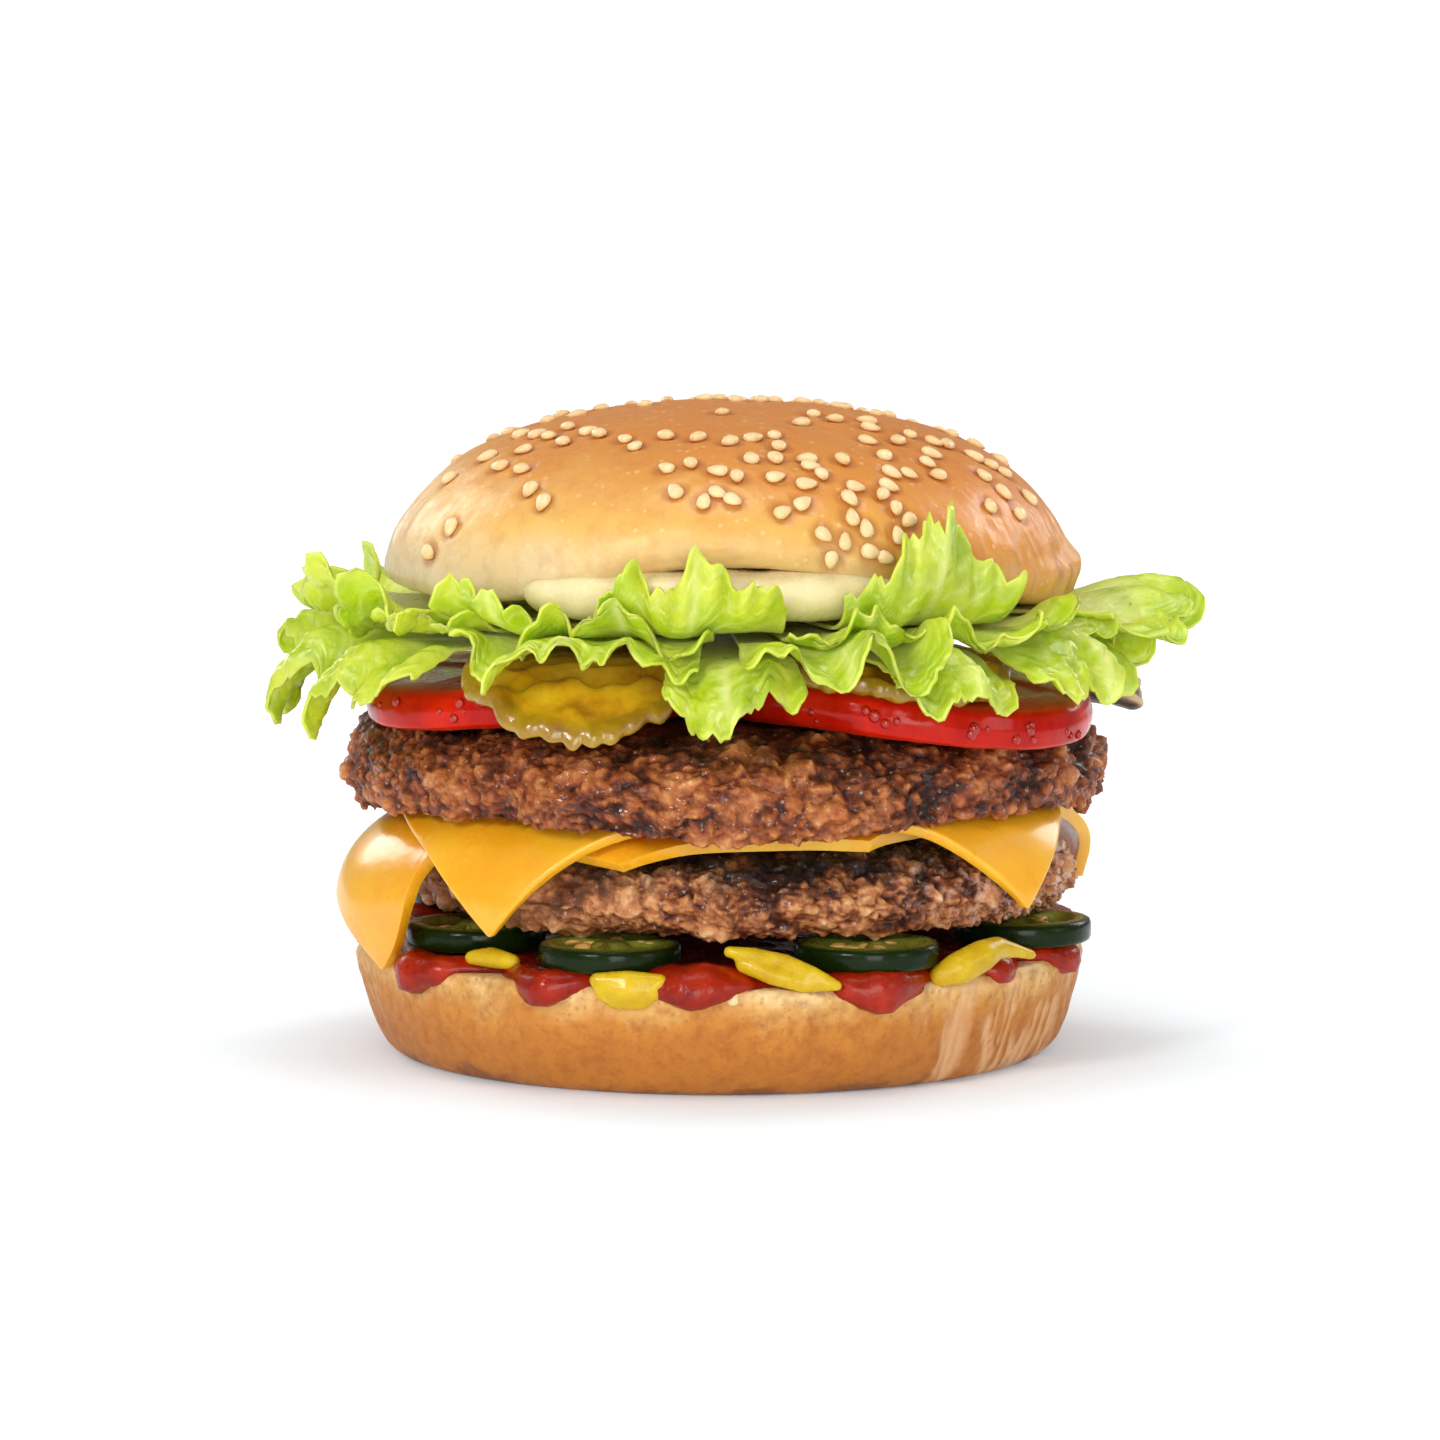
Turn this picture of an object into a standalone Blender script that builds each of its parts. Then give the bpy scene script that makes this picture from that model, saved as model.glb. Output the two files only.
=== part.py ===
"""Double cheeseburger: two beef patties with two slices of cheese, tomato, pickle and
lettuce in a sesame bun, on a bottom bun with ketchup, mustard and green chilli slices.

+Z is up and -Y is the front. The origin is the centre of the bottom bun's flat underside.
Lengths below are millimetres. Each finished mesh is scaled to metres.
"""

import math
import random

import bmesh
import bpy
from mathutils import Matrix, Vector, noise
from mathutils.bvhtree import BVHTree

METRES = 0.001
GAP = 0.3
FULL_TURN = 2.0 * math.pi
QUARTER_TURN = 0.5 * math.pi

# Bottom bun
HEEL_RADIUS = 50.0
HEEL_BASE_RADIUS = 42.5
HEEL_HEIGHT = 14.8
HEEL_FLARE = 0.35

# Sauces and chilli slices between the bottom bun and the lower patty
KETCHUP_THICKNESS = 0.7
CHILLI_RADIUS = 9.4
CHILLI_THICKNESS = 3.2
CHILLI_PLACES = ((-14.6, -38.6), (19.6, -37.8), (-33.0, -19.2), (41.0, -14.5))
CHILLI_PLACES += ((-34.0, 22.0), (-2.0, 37.5), (33.0, 23.0))

# Patties
LOWER_CENTRE = (2.4, 0.0)
LOWER_RADIUS = 46.6
LOWER_BOTTOM = 20.1
LOWER_TOP = 32.2
LOWER_SEED = 5.0
UPPER_CENTRE = (0.3, 0.0)
UPPER_RADIUS = 52.4
UPPER_BOTTOM = 37.4
UPPER_TOP = 47.6
UPPER_RIM_SAG = 1.8
UPPER_RIM_SAG_BETWEEN_CORNERS = 1.6
CHEESE_UPPER_TURN = -130
CRAG_SIZE = 6.5
CRAG_DEPTH = 1.5

# Cheese slices
CHEESE_SIDE = 89.0
CHEESE_THICKNESS = 1.7
CHEESE_CELLS = 12
CHEESE_FLAT = 40.5
CHEESE_HANG = 7.0

# Tomato and pickle slices
TOMATO_THICKNESS = 5.6
PICKLE_THICKNESS = 2.4
PICKLE_CRINKLE = 0.35

# Onion
ONION_PLACE = (45.0, 14.0)
ONION_SIZE = (27.0, 10.0, 5.0)

# Lettuce
LEAF_THICKNESS = 0.8
LEAF_LEVELS = (58.1, 59.9, 61.7)
LEAF_ROOT = 9.0
LEAF_BEND = 45.5
LEAF_CELL_DEGREES = 4.4
LEAF_ALONG = 5
LEAF_BEND_SHARE = 0.36
RUFFLE_HEIGHT = 2.3
RUFFLE_REACH = 1.1

# Top bun
CROWN_RADIUS = 47.9
CROWN_BOTTOM = 63.4
CROWN_TOP = 88.6
CROWN_POWER = 2.2
CROWN_FRONT_LIFT = 6.2
SEED_COUNT = 50
SEED_LENGTH = 3.1
SEED_WIDTH = 2.0
SEED_THICKNESS = 1.25
SEED_SPACING = 3.3


def clear_scene():
    for obj in list(bpy.data.objects):
        bpy.data.objects.remove(obj, do_unlink=True)


def make_material(name, colour, roughness):
    material = bpy.data.materials.new(name)
    material.use_nodes = True
    shader = material.node_tree.nodes["Principled BSDF"]
    shader.inputs["Base Color"].default_value = (*colour, 1.0)
    shader.inputs["Roughness"].default_value = roughness
    shader.inputs["Metallic"].default_value = 0.0
    return material


def finish(mesh, name, material):
    """Turns a mesh in millimetres into a named object in metres."""
    bmesh.ops.scale(mesh, vec=Vector((METRES, METRES, METRES)), verts=mesh.verts)
    data = bpy.data.meshes.new(name)
    mesh.to_mesh(data)
    mesh.free()
    data.shade_smooth()
    data.set_sharp_from_angle(angle=math.radians(50))
    data.materials.append(material)
    obj = bpy.data.objects.new(name, data)
    bpy.context.scene.collection.objects.link(obj)
    return obj


def smooth(low, high, value):
    """Rises from 0 at low to 1 at high."""
    share = max(0.0, min(1.0, (value - low) / (high - low)))
    return share * share * (3.0 - 2.0 * share)


def wave(angle, scale, seed):
    """A smooth uneven value, about -1 to 1, that closes on itself round the axis."""
    return noise.noise(Vector((math.cos(angle) * scale, math.sin(angle) * scale, seed)))


def angle_between(angle, other):
    """The difference of two angles, from 0 to half a turn."""
    return abs((angle - other + math.pi) % FULL_TURN - math.pi)


def bump(angle, degrees, width):
    """1 at a direction in degrees, falling smoothly to 0 about twice the width away."""
    return math.exp(-((angle_between(angle, math.radians(degrees)) / math.radians(width)) ** 2))


def round_body(profile, segments):
    """A closed body round Z. profile(angle) lists (radius, height) from the top pole to the bottom one."""
    bands = len(profile(0.0)) - 1
    mesh = bmesh.new()
    bmesh.ops.create_uvsphere(mesh, u_segments=segments, v_segments=bands, radius=1.0)
    for vert in mesh.verts:
        ring = round(math.acos(max(-1.0, min(1.0, vert.co.z))) / math.pi * bands)
        angle = math.atan2(vert.co.y, vert.co.x)
        radius, height = profile(angle)[ring]
        vert.co = (radius * math.cos(angle), radius * math.sin(angle), height)
    bmesh.ops.recalc_face_normals(mesh, faces=mesh.faces)
    return mesh


def disc_profile(radius, thickness, edge, rings):
    """A flat slice whose outer corner is rounded, with rings of points at shares of its radius."""
    upper = [(share * radius, thickness) for share in rings]
    lower = [(share * radius, 0.0) for share in reversed(rings)]
    corner = [(radius - edge, thickness), (radius, thickness - edge), (radius, edge), (radius - edge, 0.0)]
    return [(0.0, thickness), *upper, *corner, *lower, (0.0, 0.0)]


def largest_island(mesh):
    """Deletes every loose scrap, and keeps the largest body."""
    left = set(mesh.verts)
    islands = []
    while left:
        stack = [left.pop()]
        island = list(stack)
        while stack:
            for edge in stack.pop().link_edges:
                for vert in edge.verts:
                    if vert in left:
                        left.remove(vert)
                        island.append(vert)
                        stack.append(vert)
        islands.append(island)
    islands.sort(key=len)
    for island in islands[:-1]:
        bmesh.ops.delete(mesh, geom=island, context="VERTS")


def temporary_object(mesh, name):
    data = bpy.data.meshes.new(name)
    mesh.to_mesh(data)
    obj = bpy.data.objects.new(name, data)
    bpy.context.scene.collection.objects.link(obj)
    return obj


def boolean(mesh, others, operation, solver):
    """The mesh joined with, or cut by, the other meshes, in millimetres."""
    base = temporary_object(mesh, "base")
    mesh.free()
    group = bpy.data.collections.new("operands")
    bpy.context.scene.collection.children.link(group)
    helpers = []
    for other in others:
        data = bpy.data.meshes.new("operand")
        other.to_mesh(data)
        helper = bpy.data.objects.new("operand", data)
        group.objects.link(helper)
        helpers.append(helper)
    modifier = base.modifiers.new("boolean", "BOOLEAN")
    modifier.operation = operation
    modifier.operand_type = "COLLECTION"
    modifier.collection = group
    modifier.solver = solver
    bpy.context.view_layer.update()
    evaluated = base.evaluated_get(bpy.context.evaluated_depsgraph_get())
    result = bmesh.new()
    result.from_mesh(evaluated.to_mesh())
    evaluated.to_mesh_clear()
    for helper in [base, *helpers]:
        bpy.data.objects.remove(helper, do_unlink=True)
    bpy.data.collections.remove(group)
    bmesh.ops.triangulate(result, faces=result.faces)
    bmesh.ops.remove_doubles(result, verts=result.verts, dist=0.0005)
    bmesh.ops.triangulate(result, faces=result.faces)
    largest_island(result)
    return result


def swollen(mesh, amount):
    """A copy of a mesh with its surface moved outwards."""
    copy = mesh.copy()
    copy.normal_update()
    moved = [(vert, vert.co + vert.normal * amount * vert.calc_shell_factor()) for vert in copy.verts]
    for vert, place in moved:
        vert.co = place
    return copy


def cut_clear(mesh, others):
    """Cuts a soft piece back to the usual gap from each neighbour."""
    cutters = [swollen(other, GAP) for other in others]
    result = boolean(mesh, cutters, "DIFFERENCE", "MANIFOLD")
    for cutter in cutters:
        cutter.free()
    return result


def heel_radius(angle):
    return HEEL_RADIUS * (1.0 + 0.012 * wave(angle, 1.1, 3.0))


def heel_top(angle):
    return HEEL_HEIGHT + 0.4 * wave(angle, 1.3, 7.0) + 0.3 * bump(angle, -150, 28)


def heel_surface(distance, angle):
    """Height of the bottom bun's cut face: level in the middle, uneven at the rim."""
    radius = heel_radius(angle)
    rise = heel_top(angle) - HEEL_HEIGHT
    middle, edge, rim = 0.75 * radius, 0.93 * radius, radius - 0.9
    if distance < edge:
        return HEEL_HEIGHT + 0.5 * rise * max(0.0, distance - middle) / (edge - middle)
    return HEEL_HEIGHT + rise * (0.5 + 0.5 * min(1.0, (distance - edge) / (rim - edge)))


def heel():
    """Bottom bun: crisp rim, sides that draw in to a rounded foot, flat underside."""

    def profile(angle):
        radius = heel_radius(angle)
        top = heel_top(angle)
        shoulder = top - 0.7
        points = [(0.0, HEEL_HEIGHT)]
        for share in (0.4, 0.75):
            points.append((share * radius, HEEL_HEIGHT))
        points.append((0.93 * radius, HEEL_HEIGHT + 0.5 * (top - HEEL_HEIGHT)))
        points.append((radius - 0.9, top))
        for share in (1.0, 0.74, 0.5, 0.27, 0.11, 0.03):
            side = HEEL_BASE_RADIUS + (radius - HEEL_BASE_RADIUS) * share**HEEL_FLARE
            points.append((side, share * shoulder))
        points += [(HEEL_BASE_RADIUS, 0.0), (0.5 * HEEL_BASE_RADIUS, 0.0), (0.0, 0.0)]
        return points

    return round_body(profile, 34)


def ketchup():
    """A film on the bottom bun that is squeezed out past the rim in rounded lobes."""
    lobes = ((164, 7, 8.0), (-141, 8, 7.2), (-117, 7, 8.2), (-93, 8, 7.4), (-62, 9, 8.6))
    lobes += ((-40, 6, 6.6), (-20, 7, 7.6), (20, 10, 8.0), (58, 8, 7.4), (96, 10, 8.4), (132, 9, 7.8))

    def profile(angle):
        rim = heel_radius(angle) + GAP + 0.25
        pushed = max(reach * bump(angle, direction, width) for direction, width, reach in lobes)
        reach = 44.6 + 0.8 * wave(angle, 2.5, 11.0) + pushed
        over = max(0.0, reach - 1.05 - rim)
        inner = min(reach - 1.0, rim + 0.05)
        rings = (inner - 0.1, min(0.93 * heel_radius(angle), inner - 1.2), 30.0)
        underside = [(distance, heel_surface(distance, angle) + GAP + 0.12) for distance in rings]
        base = underside[0][1]
        drop = base - 1.4 * over
        lip = base + KETCHUP_THICKNESS
        film = HEEL_HEIGHT + GAP + KETCHUP_THICKNESS
        return [
            (0.0, film),
            (38.0, film),
            (inner - 0.4, lip),
            (reach - 0.35, lip - 0.35),
            (reach, 0.5 * (lip + drop)),
            (max(reach - 0.5, inner + 0.1), drop),
            (inner, drop + 0.2 * min(1.0, over)),
            *underside,
            (0.0, HEEL_HEIGHT + GAP + 0.12),
        ]

    return round_body(profile, 44)


def chilli(place):
    """A cross-cut slice of green chilli that lies flat on the ketchup."""
    mesh = round_body(lambda angle: disc_profile(CHILLI_RADIUS, CHILLI_THICKNESS, 0.5, ()), 14)
    floor = HEEL_HEIGHT + 2.0 * GAP + KETCHUP_THICKNESS
    for vert in mesh.verts:
        angle = math.atan2(vert.co.y, vert.co.x)
        vert.co.x *= 1.0 + 0.04 * wave(angle, 0.8, place[0])
        vert.co.y *= 0.97 + 0.05 * wave(angle, 0.8, place[1])
    bmesh.ops.translate(mesh, vec=Vector((place[0], place[1], floor + 0.5)), verts=mesh.verts)
    return mesh


def patty_reach(angle, radius, seed):
    """Radius of a patty's uneven outline in one direction."""
    return radius * (1.0 + 0.022 * wave(angle, 1.4, seed) + 0.018 * wave(angle, 4.0, seed))


def patty_shape(centre, radius, section, seed):
    """A flat round of minced beef with a craggy edge. section(angle) lists (share of the radius, height)."""

    def profile(angle):
        reach = patty_reach(angle, radius, seed)
        placed = []
        for share, height in section(angle):
            edge = smooth(0.8, 1.0, share)
            spot = Vector((share * reach * math.cos(angle), share * reach * math.sin(angle), height))
            crag = noise.fractal(spot / CRAG_SIZE + Vector((0, 0, seed)), 1.0, 2.0, 2)
            lump = noise.noise(spot / 11.0 + Vector((seed, 0, 0)))
            placed.append((share * reach + edge * CRAG_DEPTH * (crag - 0.35), height + 0.35 * edge * lump))
        return placed

    mesh = round_body(profile, 34)
    bmesh.ops.translate(mesh, vec=Vector((centre[0], centre[1], 0.0)), verts=mesh.verts)
    return mesh


def lower_patty():
    top, bottom = LOWER_TOP, LOWER_BOTTOM
    points = [(0.0, top), (0.4, top), (0.72, top - 0.1), (0.86, top - 0.7)]
    points += [(0.94, top - 2.4), (0.985, top - 4.8), (1.0, top - 7.2)]
    points += [(0.985, bottom + 3.0), (0.945, bottom + 0.9), (0.87, bottom), (0.5, bottom), (0.0, bottom)]
    return patty_shape(LOWER_CENTRE, LOWER_RADIUS, lambda angle: points, LOWER_SEED)


def upper_patty():
    top, bottom = UPPER_TOP, UPPER_BOTTOM

    def section(angle):
        corner = math.cos(2.0 * (angle - math.radians(CHEESE_UPPER_TURN))) ** 2
        rim = bottom - UPPER_RIM_SAG - UPPER_RIM_SAG_BETWEEN_CORNERS * (1.0 - corner)
        upper = [(0.0, top), (0.4, top), (0.72, top - 0.1), (0.86, top - 0.8)]
        edge = [(0.945, top - 2.6), (0.99, top - 5.4), (1.0, rim + 4.4), (0.99, rim + 1.6), (0.96, rim)]
        lower = [(0.91, bottom - 0.5), (0.84, bottom), (0.4, bottom), (0.0, bottom)]
        return upper + edge + lower

    return patty_shape(UPPER_CENTRE, UPPER_RADIUS, section, 9.0)


def cheese_slice(turn, shift, level, bend, springs, trims, twists):
    """A square slice that lies on the lower patty and bends down over its edge.

    turn is the direction of its first corner and shift moves its centre towards that corner and
    the next one. bend is the radius of the bend. A spring makes it stand off the patty in one
    direction: (degrees, width, extra radius, extra turn in degrees). A trim cuts the slice off
    past a distance in one direction. A twist swings what hangs in one direction sideways:
    (degrees, width, swing in degrees).
    """
    mesh = bmesh.new()
    bmesh.ops.create_grid(mesh, x_segments=CHEESE_CELLS, y_segments=CHEESE_CELLS, size=0.5 * CHEESE_SIDE)
    bmesh.ops.rotate(mesh, matrix=Matrix.Rotation(math.radians(turn - 45), 3, "Z"), verts=mesh.verts)
    first = Vector((math.cos(math.radians(turn)), math.sin(math.radians(turn)), 0.0))
    second = Vector((-first.y, first.x, 0.0))
    bmesh.ops.translate(mesh, vec=first * shift[0] + second * shift[1], verts=mesh.verts)
    for degrees, distance in trims:
        away = Vector((math.cos(math.radians(degrees)), math.sin(math.radians(degrees)), 0.0))
        geometry = mesh.verts[:] + mesh.edges[:] + mesh.faces[:]
        bmesh.ops.bisect_plane(mesh, geom=geometry, plane_co=away * distance, plane_no=away, clear_outer=True)
    bmesh.ops.triangulate(mesh, faces=mesh.faces)
    for vert in mesh.verts:
        angle = math.atan2(vert.co.y, vert.co.x)
        distance = vert.co.xy.length
        for degrees, width, swing in twists:
            angle += math.radians(swing) * bump(angle, degrees, width) * smooth(34.0, 52.0, distance)
        flat = CHEESE_FLAT + patty_reach(angle, LOWER_RADIUS, LOWER_SEED) - LOWER_RADIUS
        radius = bend
        last_turn = QUARTER_TURN
        for degrees, width, extra, lean in springs:
            share = bump(angle, degrees, width)
            flat += 2.0 * share
            radius += extra * share
            last_turn += math.radians(lean) * share
        over = max(0.0, distance - flat)
        turned = min(over / radius, last_turn)
        rest = over - turned * radius
        rest = CHEESE_HANG * math.tanh(rest / CHEESE_HANG)
        reach = min(distance, flat) + radius * math.sin(turned) + rest * math.cos(turned)
        height = level - radius * (1.0 - math.cos(turned)) - rest * math.sin(turned)
        sag = 0.1 * noise.noise(vert.co / 14.0) * smooth(20.0, 44.0, distance)
        vert.co = (reach * math.cos(angle), reach * math.sin(angle), height + sag)
    bmesh.ops.recalc_face_normals(mesh, faces=mesh.faces)
    mesh.normal_update()
    if mesh.faces[0].normal.z < 0:
        bmesh.ops.reverse_faces(mesh, faces=mesh.faces)
    thicken(mesh, CHEESE_THICKNESS)
    bmesh.ops.translate(mesh, vec=Vector((LOWER_CENTRE[0], LOWER_CENTRE[1], 0.0)), verts=mesh.verts)
    return mesh


def thicken(mesh, thickness):
    """Gives a sheet its thickness, half to each side, with both faces split alike."""
    mesh.normal_update()
    moved = [(vert, vert.co + 0.5 * thickness * vert.normal) for vert in mesh.verts]
    for vert, place in moved:
        vert.co = place
    mesh.normal_update()
    bmesh.ops.solidify(mesh, geom=mesh.faces[:], thickness=thickness)
    bmesh.ops.recalc_face_normals(mesh, faces=mesh.faces)
    bmesh.ops.triangulate(mesh, faces=mesh.faces)


def droop(x, y):
    """How far the layers above the upper patty sink towards its rounded edge."""
    return 0.012 * max(0.0, math.hypot(x, y) - 38.0) ** 2


def tomato(place, radius, seed):
    mesh = round_body(lambda angle: disc_profile(radius, TOMATO_THICKNESS, 1.3, (0.6,)), 24)
    bottom = UPPER_TOP + GAP + 0.2
    for vert in mesh.verts:
        angle = math.atan2(vert.co.y, vert.co.x)
        uneven = 1.0 + 0.02 * wave(angle, 1.0, seed)
        x = place[0] + vert.co.x * uneven
        y = place[1] + vert.co.y * uneven
        vert.co = (x, y, vert.co.z + bottom - droop(x, y))
    return mesh


def pickle(place, radius, fold, seed):
    """A crinkle-cut slice. It folds down past the line y = fold, over the edge of a tomato."""

    def profile(angle):
        edge = radius * (1.0 + 0.022 * math.cos(14.0 * angle))
        return [
            (0.0, PICKLE_THICKNESS),
            (0.6 * edge, PICKLE_THICKNESS),
            (edge - 0.4, PICKLE_THICKNESS),
            (edge, 0.5 * PICKLE_THICKNESS),
            (edge - 0.4, 0.0),
            (0.6 * edge, 0.0),
            (0.0, 0.0),
        ]

    mesh = round_body(profile, 28)
    bottom = UPPER_TOP + TOMATO_THICKNESS + 2.0 * GAP + 0.2 + PICKLE_CRINKLE
    for vert in mesh.verts:
        x = place[0] + vert.co.x
        y = place[1] + vert.co.y
        down = 0.034 * max(0.0, fold - y) ** 2
        ridge = PICKLE_CRINKLE * math.cos(1.3 * (vert.co.x + 0.4 * vert.co.y) + seed)
        vert.co = (x, y, vert.co.z + bottom + ridge - droop(x, max(y, fold)) - down)
    return mesh


def onion():
    """A piece of grilled onion on the upper patty, whose end sticks out at the right."""
    mesh = bmesh.new()
    bmesh.ops.create_cube(mesh, size=1.0)
    bmesh.ops.subdivide_edges(mesh, edges=mesh.edges, cuts=2, use_grid_fill=True)
    middle = UPPER_TOP + 0.5 + 0.5 * ONION_SIZE[2]
    for vert in mesh.verts:
        x = ONION_PLACE[0] + ONION_SIZE[0] * vert.co.x
        y = ONION_PLACE[1] + ONION_SIZE[1] * vert.co.y * (1.0 - 0.3 * vert.co.x)
        vert.co = (x, y, middle + ONION_SIZE[2] * vert.co.z - 0.6 * droop(x, y))
    rim = [edge for edge in mesh.edges if edge.calc_face_angle(0.0) > math.radians(50)]
    bmesh.ops.bevel(mesh, geom=rim, offset=0.8, segments=1, profile=0.5, affect="EDGES", material=-1)
    return mesh


def mayonnaise():
    """A thick smear that shows under the raised front edge of the top bun."""
    mesh = bmesh.new()
    centre, half_width, half_height = 43.6, 5.2, 3.3
    ring = bmesh.ops.create_circle(mesh, cap_ends=False, radius=1.0, segments=8)["verts"]
    start = math.radians(-131)
    for vert in ring:
        vert.co = (centre + half_width * vert.co.x, 0.0, 66.3 + half_height * vert.co.y)
    bmesh.ops.rotate(mesh, matrix=Matrix.Rotation(start, 3, "Z"), verts=mesh.verts)
    bmesh.ops.spin(
        mesh,
        geom=mesh.verts[:] + mesh.edges[:],
        cent=Vector((0, 0, 0)),
        axis=Vector((0, 0, 1)),
        angle=math.radians(74),
        steps=11,
        use_duplicate=False,
    )
    bmesh.ops.holes_fill(mesh, edges=[edge for edge in mesh.edges if edge.is_boundary])
    for vert in mesh.verts:
        angle = math.atan2(vert.co.y, vert.co.x)
        push = 1.0 + 0.03 * wave(angle, 3.0, 2.0)
        vert.co.x *= push
        vert.co.y *= push
    bmesh.ops.recalc_face_normals(mesh, faces=mesh.faces)
    bmesh.ops.triangulate(mesh, faces=mesh.faces)
    return mesh


# Each leaf: name, direction and half its spread in degrees, level, reach of its tip, height of its tip
LEAVES = (
    ("lettuce_left", -165, 29, 0, 60.5, 45.5),
    ("lettuce_left_upper", -161, 24, 2, 57.0, 67.5),
    ("lettuce_front_left_frill", -126, 9, 2, 53.0, 70.0),
    ("lettuce_front_left", -112, 19, 1, 58.5, 57.0),
    ("lettuce_front_collar", -95, 15, 2, 52.0, 74.5),
    ("lettuce_front_lobe", -88, 10, 0, 57.0, 47.0),
    ("lettuce_front_right", -73, 14, 1, 61.0, 58.0),
    ("lettuce_upright", -55, 16, 2, 50.5, 80.0),
    ("lettuce_right_lobe", -56, 10, 0, 60.5, 48.5),
    ("lettuce_right", -32, 13, 1, 61.0, 46.0),
    ("lettuce_far_right", -8, 17, 2, 64.5, 59.0),
    ("lettuce_back_right", 33, 17, 0, 58.5, 54.5),
    ("lettuce_back_right_upper", 44, 21, 2, 54.0, 73.0),
    ("lettuce_back", 82, 22, 1, 60.0, 57.0),
    ("lettuce_back_lobe", 106, 17, 0, 57.0, 50.0),
    ("lettuce_back_left_upper", 124, 20, 2, 54.0, 71.0),
)


def leaf(direction, spread, level, reach, tip):
    """A thin leaf that lies flat under the bun and ruffles freely past its edge."""
    mesh = bmesh.new()
    cells = round(2.0 * spread / LEAF_CELL_DEGREES)
    bmesh.ops.create_grid(mesh, x_segments=cells, y_segments=LEAF_ALONG, size=1.0)
    bmesh.ops.triangulate(mesh, faces=mesh.faces)
    slot = LEAF_LEVELS[level]
    for vert in mesh.verts:
        across = vert.co.x
        along = 0.5 * (vert.co.y + 1.0)
        angle = math.radians(direction + spread * across)
        jag = 0.05 * math.cos(across * cells * math.pi) + 0.08 * wave(angle, 9.0, reach)
        share = along * (0.9 - 0.27 * abs(across) ** 2.6 + jag * along)
        if share < LEAF_BEND_SHARE:
            radius = LEAF_ROOT + (LEAF_BEND - LEAF_ROOT) * share / LEAF_BEND_SHARE
            height = slot
        else:
            step = (share - LEAF_BEND_SHARE) / (1.0 - LEAF_BEND_SHARE)
            corner = max(reach + 1.5, LEAF_BEND + 9.0)
            first, middle, last = (1.0 - step) ** 2, 2.0 * step * (1.0 - step), step * step
            radius = first * LEAF_BEND + middle * corner + last * reach
            height = first * slot + middle * slot + last * tip
        free = smooth(LEAF_BEND - 2.0, 58.0, radius)
        ruffle = math.sin(19.0 * angle + 1.7 * math.sin(5.0 * angle)) + 0.5 * math.sin(31.0 * angle + 1.0)
        swing = math.cos(19.0 * angle + 1.7 * math.sin(5.0 * angle))
        height += (0.12 + RUFFLE_HEIGHT * free) * ruffle * smooth(20.0, 44.0, radius)
        radius += RUFFLE_REACH * free * swing
        vert.co = (radius * math.cos(angle), radius * math.sin(angle), height)
    bmesh.ops.recalc_face_normals(mesh, faces=mesh.faces)
    thicken(mesh, LEAF_THICKNESS)
    return mesh


def crown_bottom(angle):
    """Height of the top bun's lower rim, which the filling lifts at the front."""
    lift = CROWN_FRONT_LIFT * bump(angle, -88, 34) + 1.2 * bump(angle, 80, 30)
    return CROWN_BOTTOM + lift + 0.7 * wave(angle, 1.6, 21.0)


def crown_radius(angle):
    return CROWN_RADIUS * (1.0 + 0.012 * wave(angle, 1.2, 31.0))


def crown():
    """Top bun without its seeds: a flattened dome with a soft rim."""

    def profile(angle):
        rim = crown_bottom(angle) + 2.2
        radius = crown_radius(angle)
        points = [(0.0, CROWN_TOP)]
        for step in range(1, 11):
            lean = QUARTER_TURN * step / 10.0
            share = math.sin(lean) ** (2.0 / CROWN_POWER)
            lift = max(0.0, math.cos(lean)) ** (2.0 / CROWN_POWER)
            points.append((radius * share, rim + (CROWN_TOP - rim) * lift))
        points.append((radius - 0.7, rim - 1.5))
        points.append((radius - 2.6, rim - 2.2))
        points.append((0.72 * radius, CROWN_BOTTOM + 0.6 * (rim - 2.2 - CROWN_BOTTOM)))
        points.append((0.4 * radius, CROWN_BOTTOM))
        points.append((0.0, CROWN_BOTTOM))
        return points

    return round_body(profile, 36)


def seed_places(surface):
    """Spots on the dome with their normals, most on the top and the right, never two too close."""
    draw = random.Random(41)
    places = []
    tries = 0
    while len(places) < SEED_COUNT and tries < 20000:
        tries += 1
        angle = draw.uniform(-math.pi, math.pi)
        distance = 45.5 * math.sqrt(draw.random())
        chance = draw.random()
        x, y = distance * math.cos(angle), distance * math.sin(angle)
        crowd = 0.42 + 0.4 * (x + 12.0) / 50.0 + 0.35 * noise.noise(Vector((x / 15.0, y / 15.0, 4.0)))
        crowd *= 1.0 - 0.75 * smooth(36.0, 46.0, distance)
        if chance > crowd:
            continue
        hit, normal, _, _ = surface.ray_cast(Vector((x, y, 200.0)), Vector((0, 0, -1)))
        if hit is None or any((hit - other).length < SEED_SPACING for other, _, _ in places):
            continue
        places.append((hit, normal, draw.uniform(0.0, FULL_TURN)))
    return places


def seed(place, normal, turn):
    """One sesame seed: a small flat drop, half sunk in the crust."""
    mesh = bmesh.new()
    bmesh.ops.create_icosphere(mesh, subdivisions=1, radius=0.5)
    for vert in mesh.verts:
        taper = 1.0 - 0.45 * vert.co.x
        width = SEED_WIDTH * taper
        vert.co = (SEED_LENGTH * vert.co.x, width * vert.co.y, SEED_THICKNESS * taper * vert.co.z)
    facing = normal.to_track_quat("Z", "Y").to_matrix() @ Matrix.Rotation(turn, 3, "Z")
    bmesh.ops.rotate(mesh, matrix=facing, verts=mesh.verts)
    bmesh.ops.translate(mesh, vec=place + 0.08 * normal, verts=mesh.verts)
    return mesh


def seeded_crown(base):
    surface = BVHTree.FromBMesh(base)
    seeds = [seed(*spot) for spot in seed_places(surface)]
    result = boolean(base, seeds, "UNION", "EXACT")
    for mesh in seeds:
        mesh.free()
    return result


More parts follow.
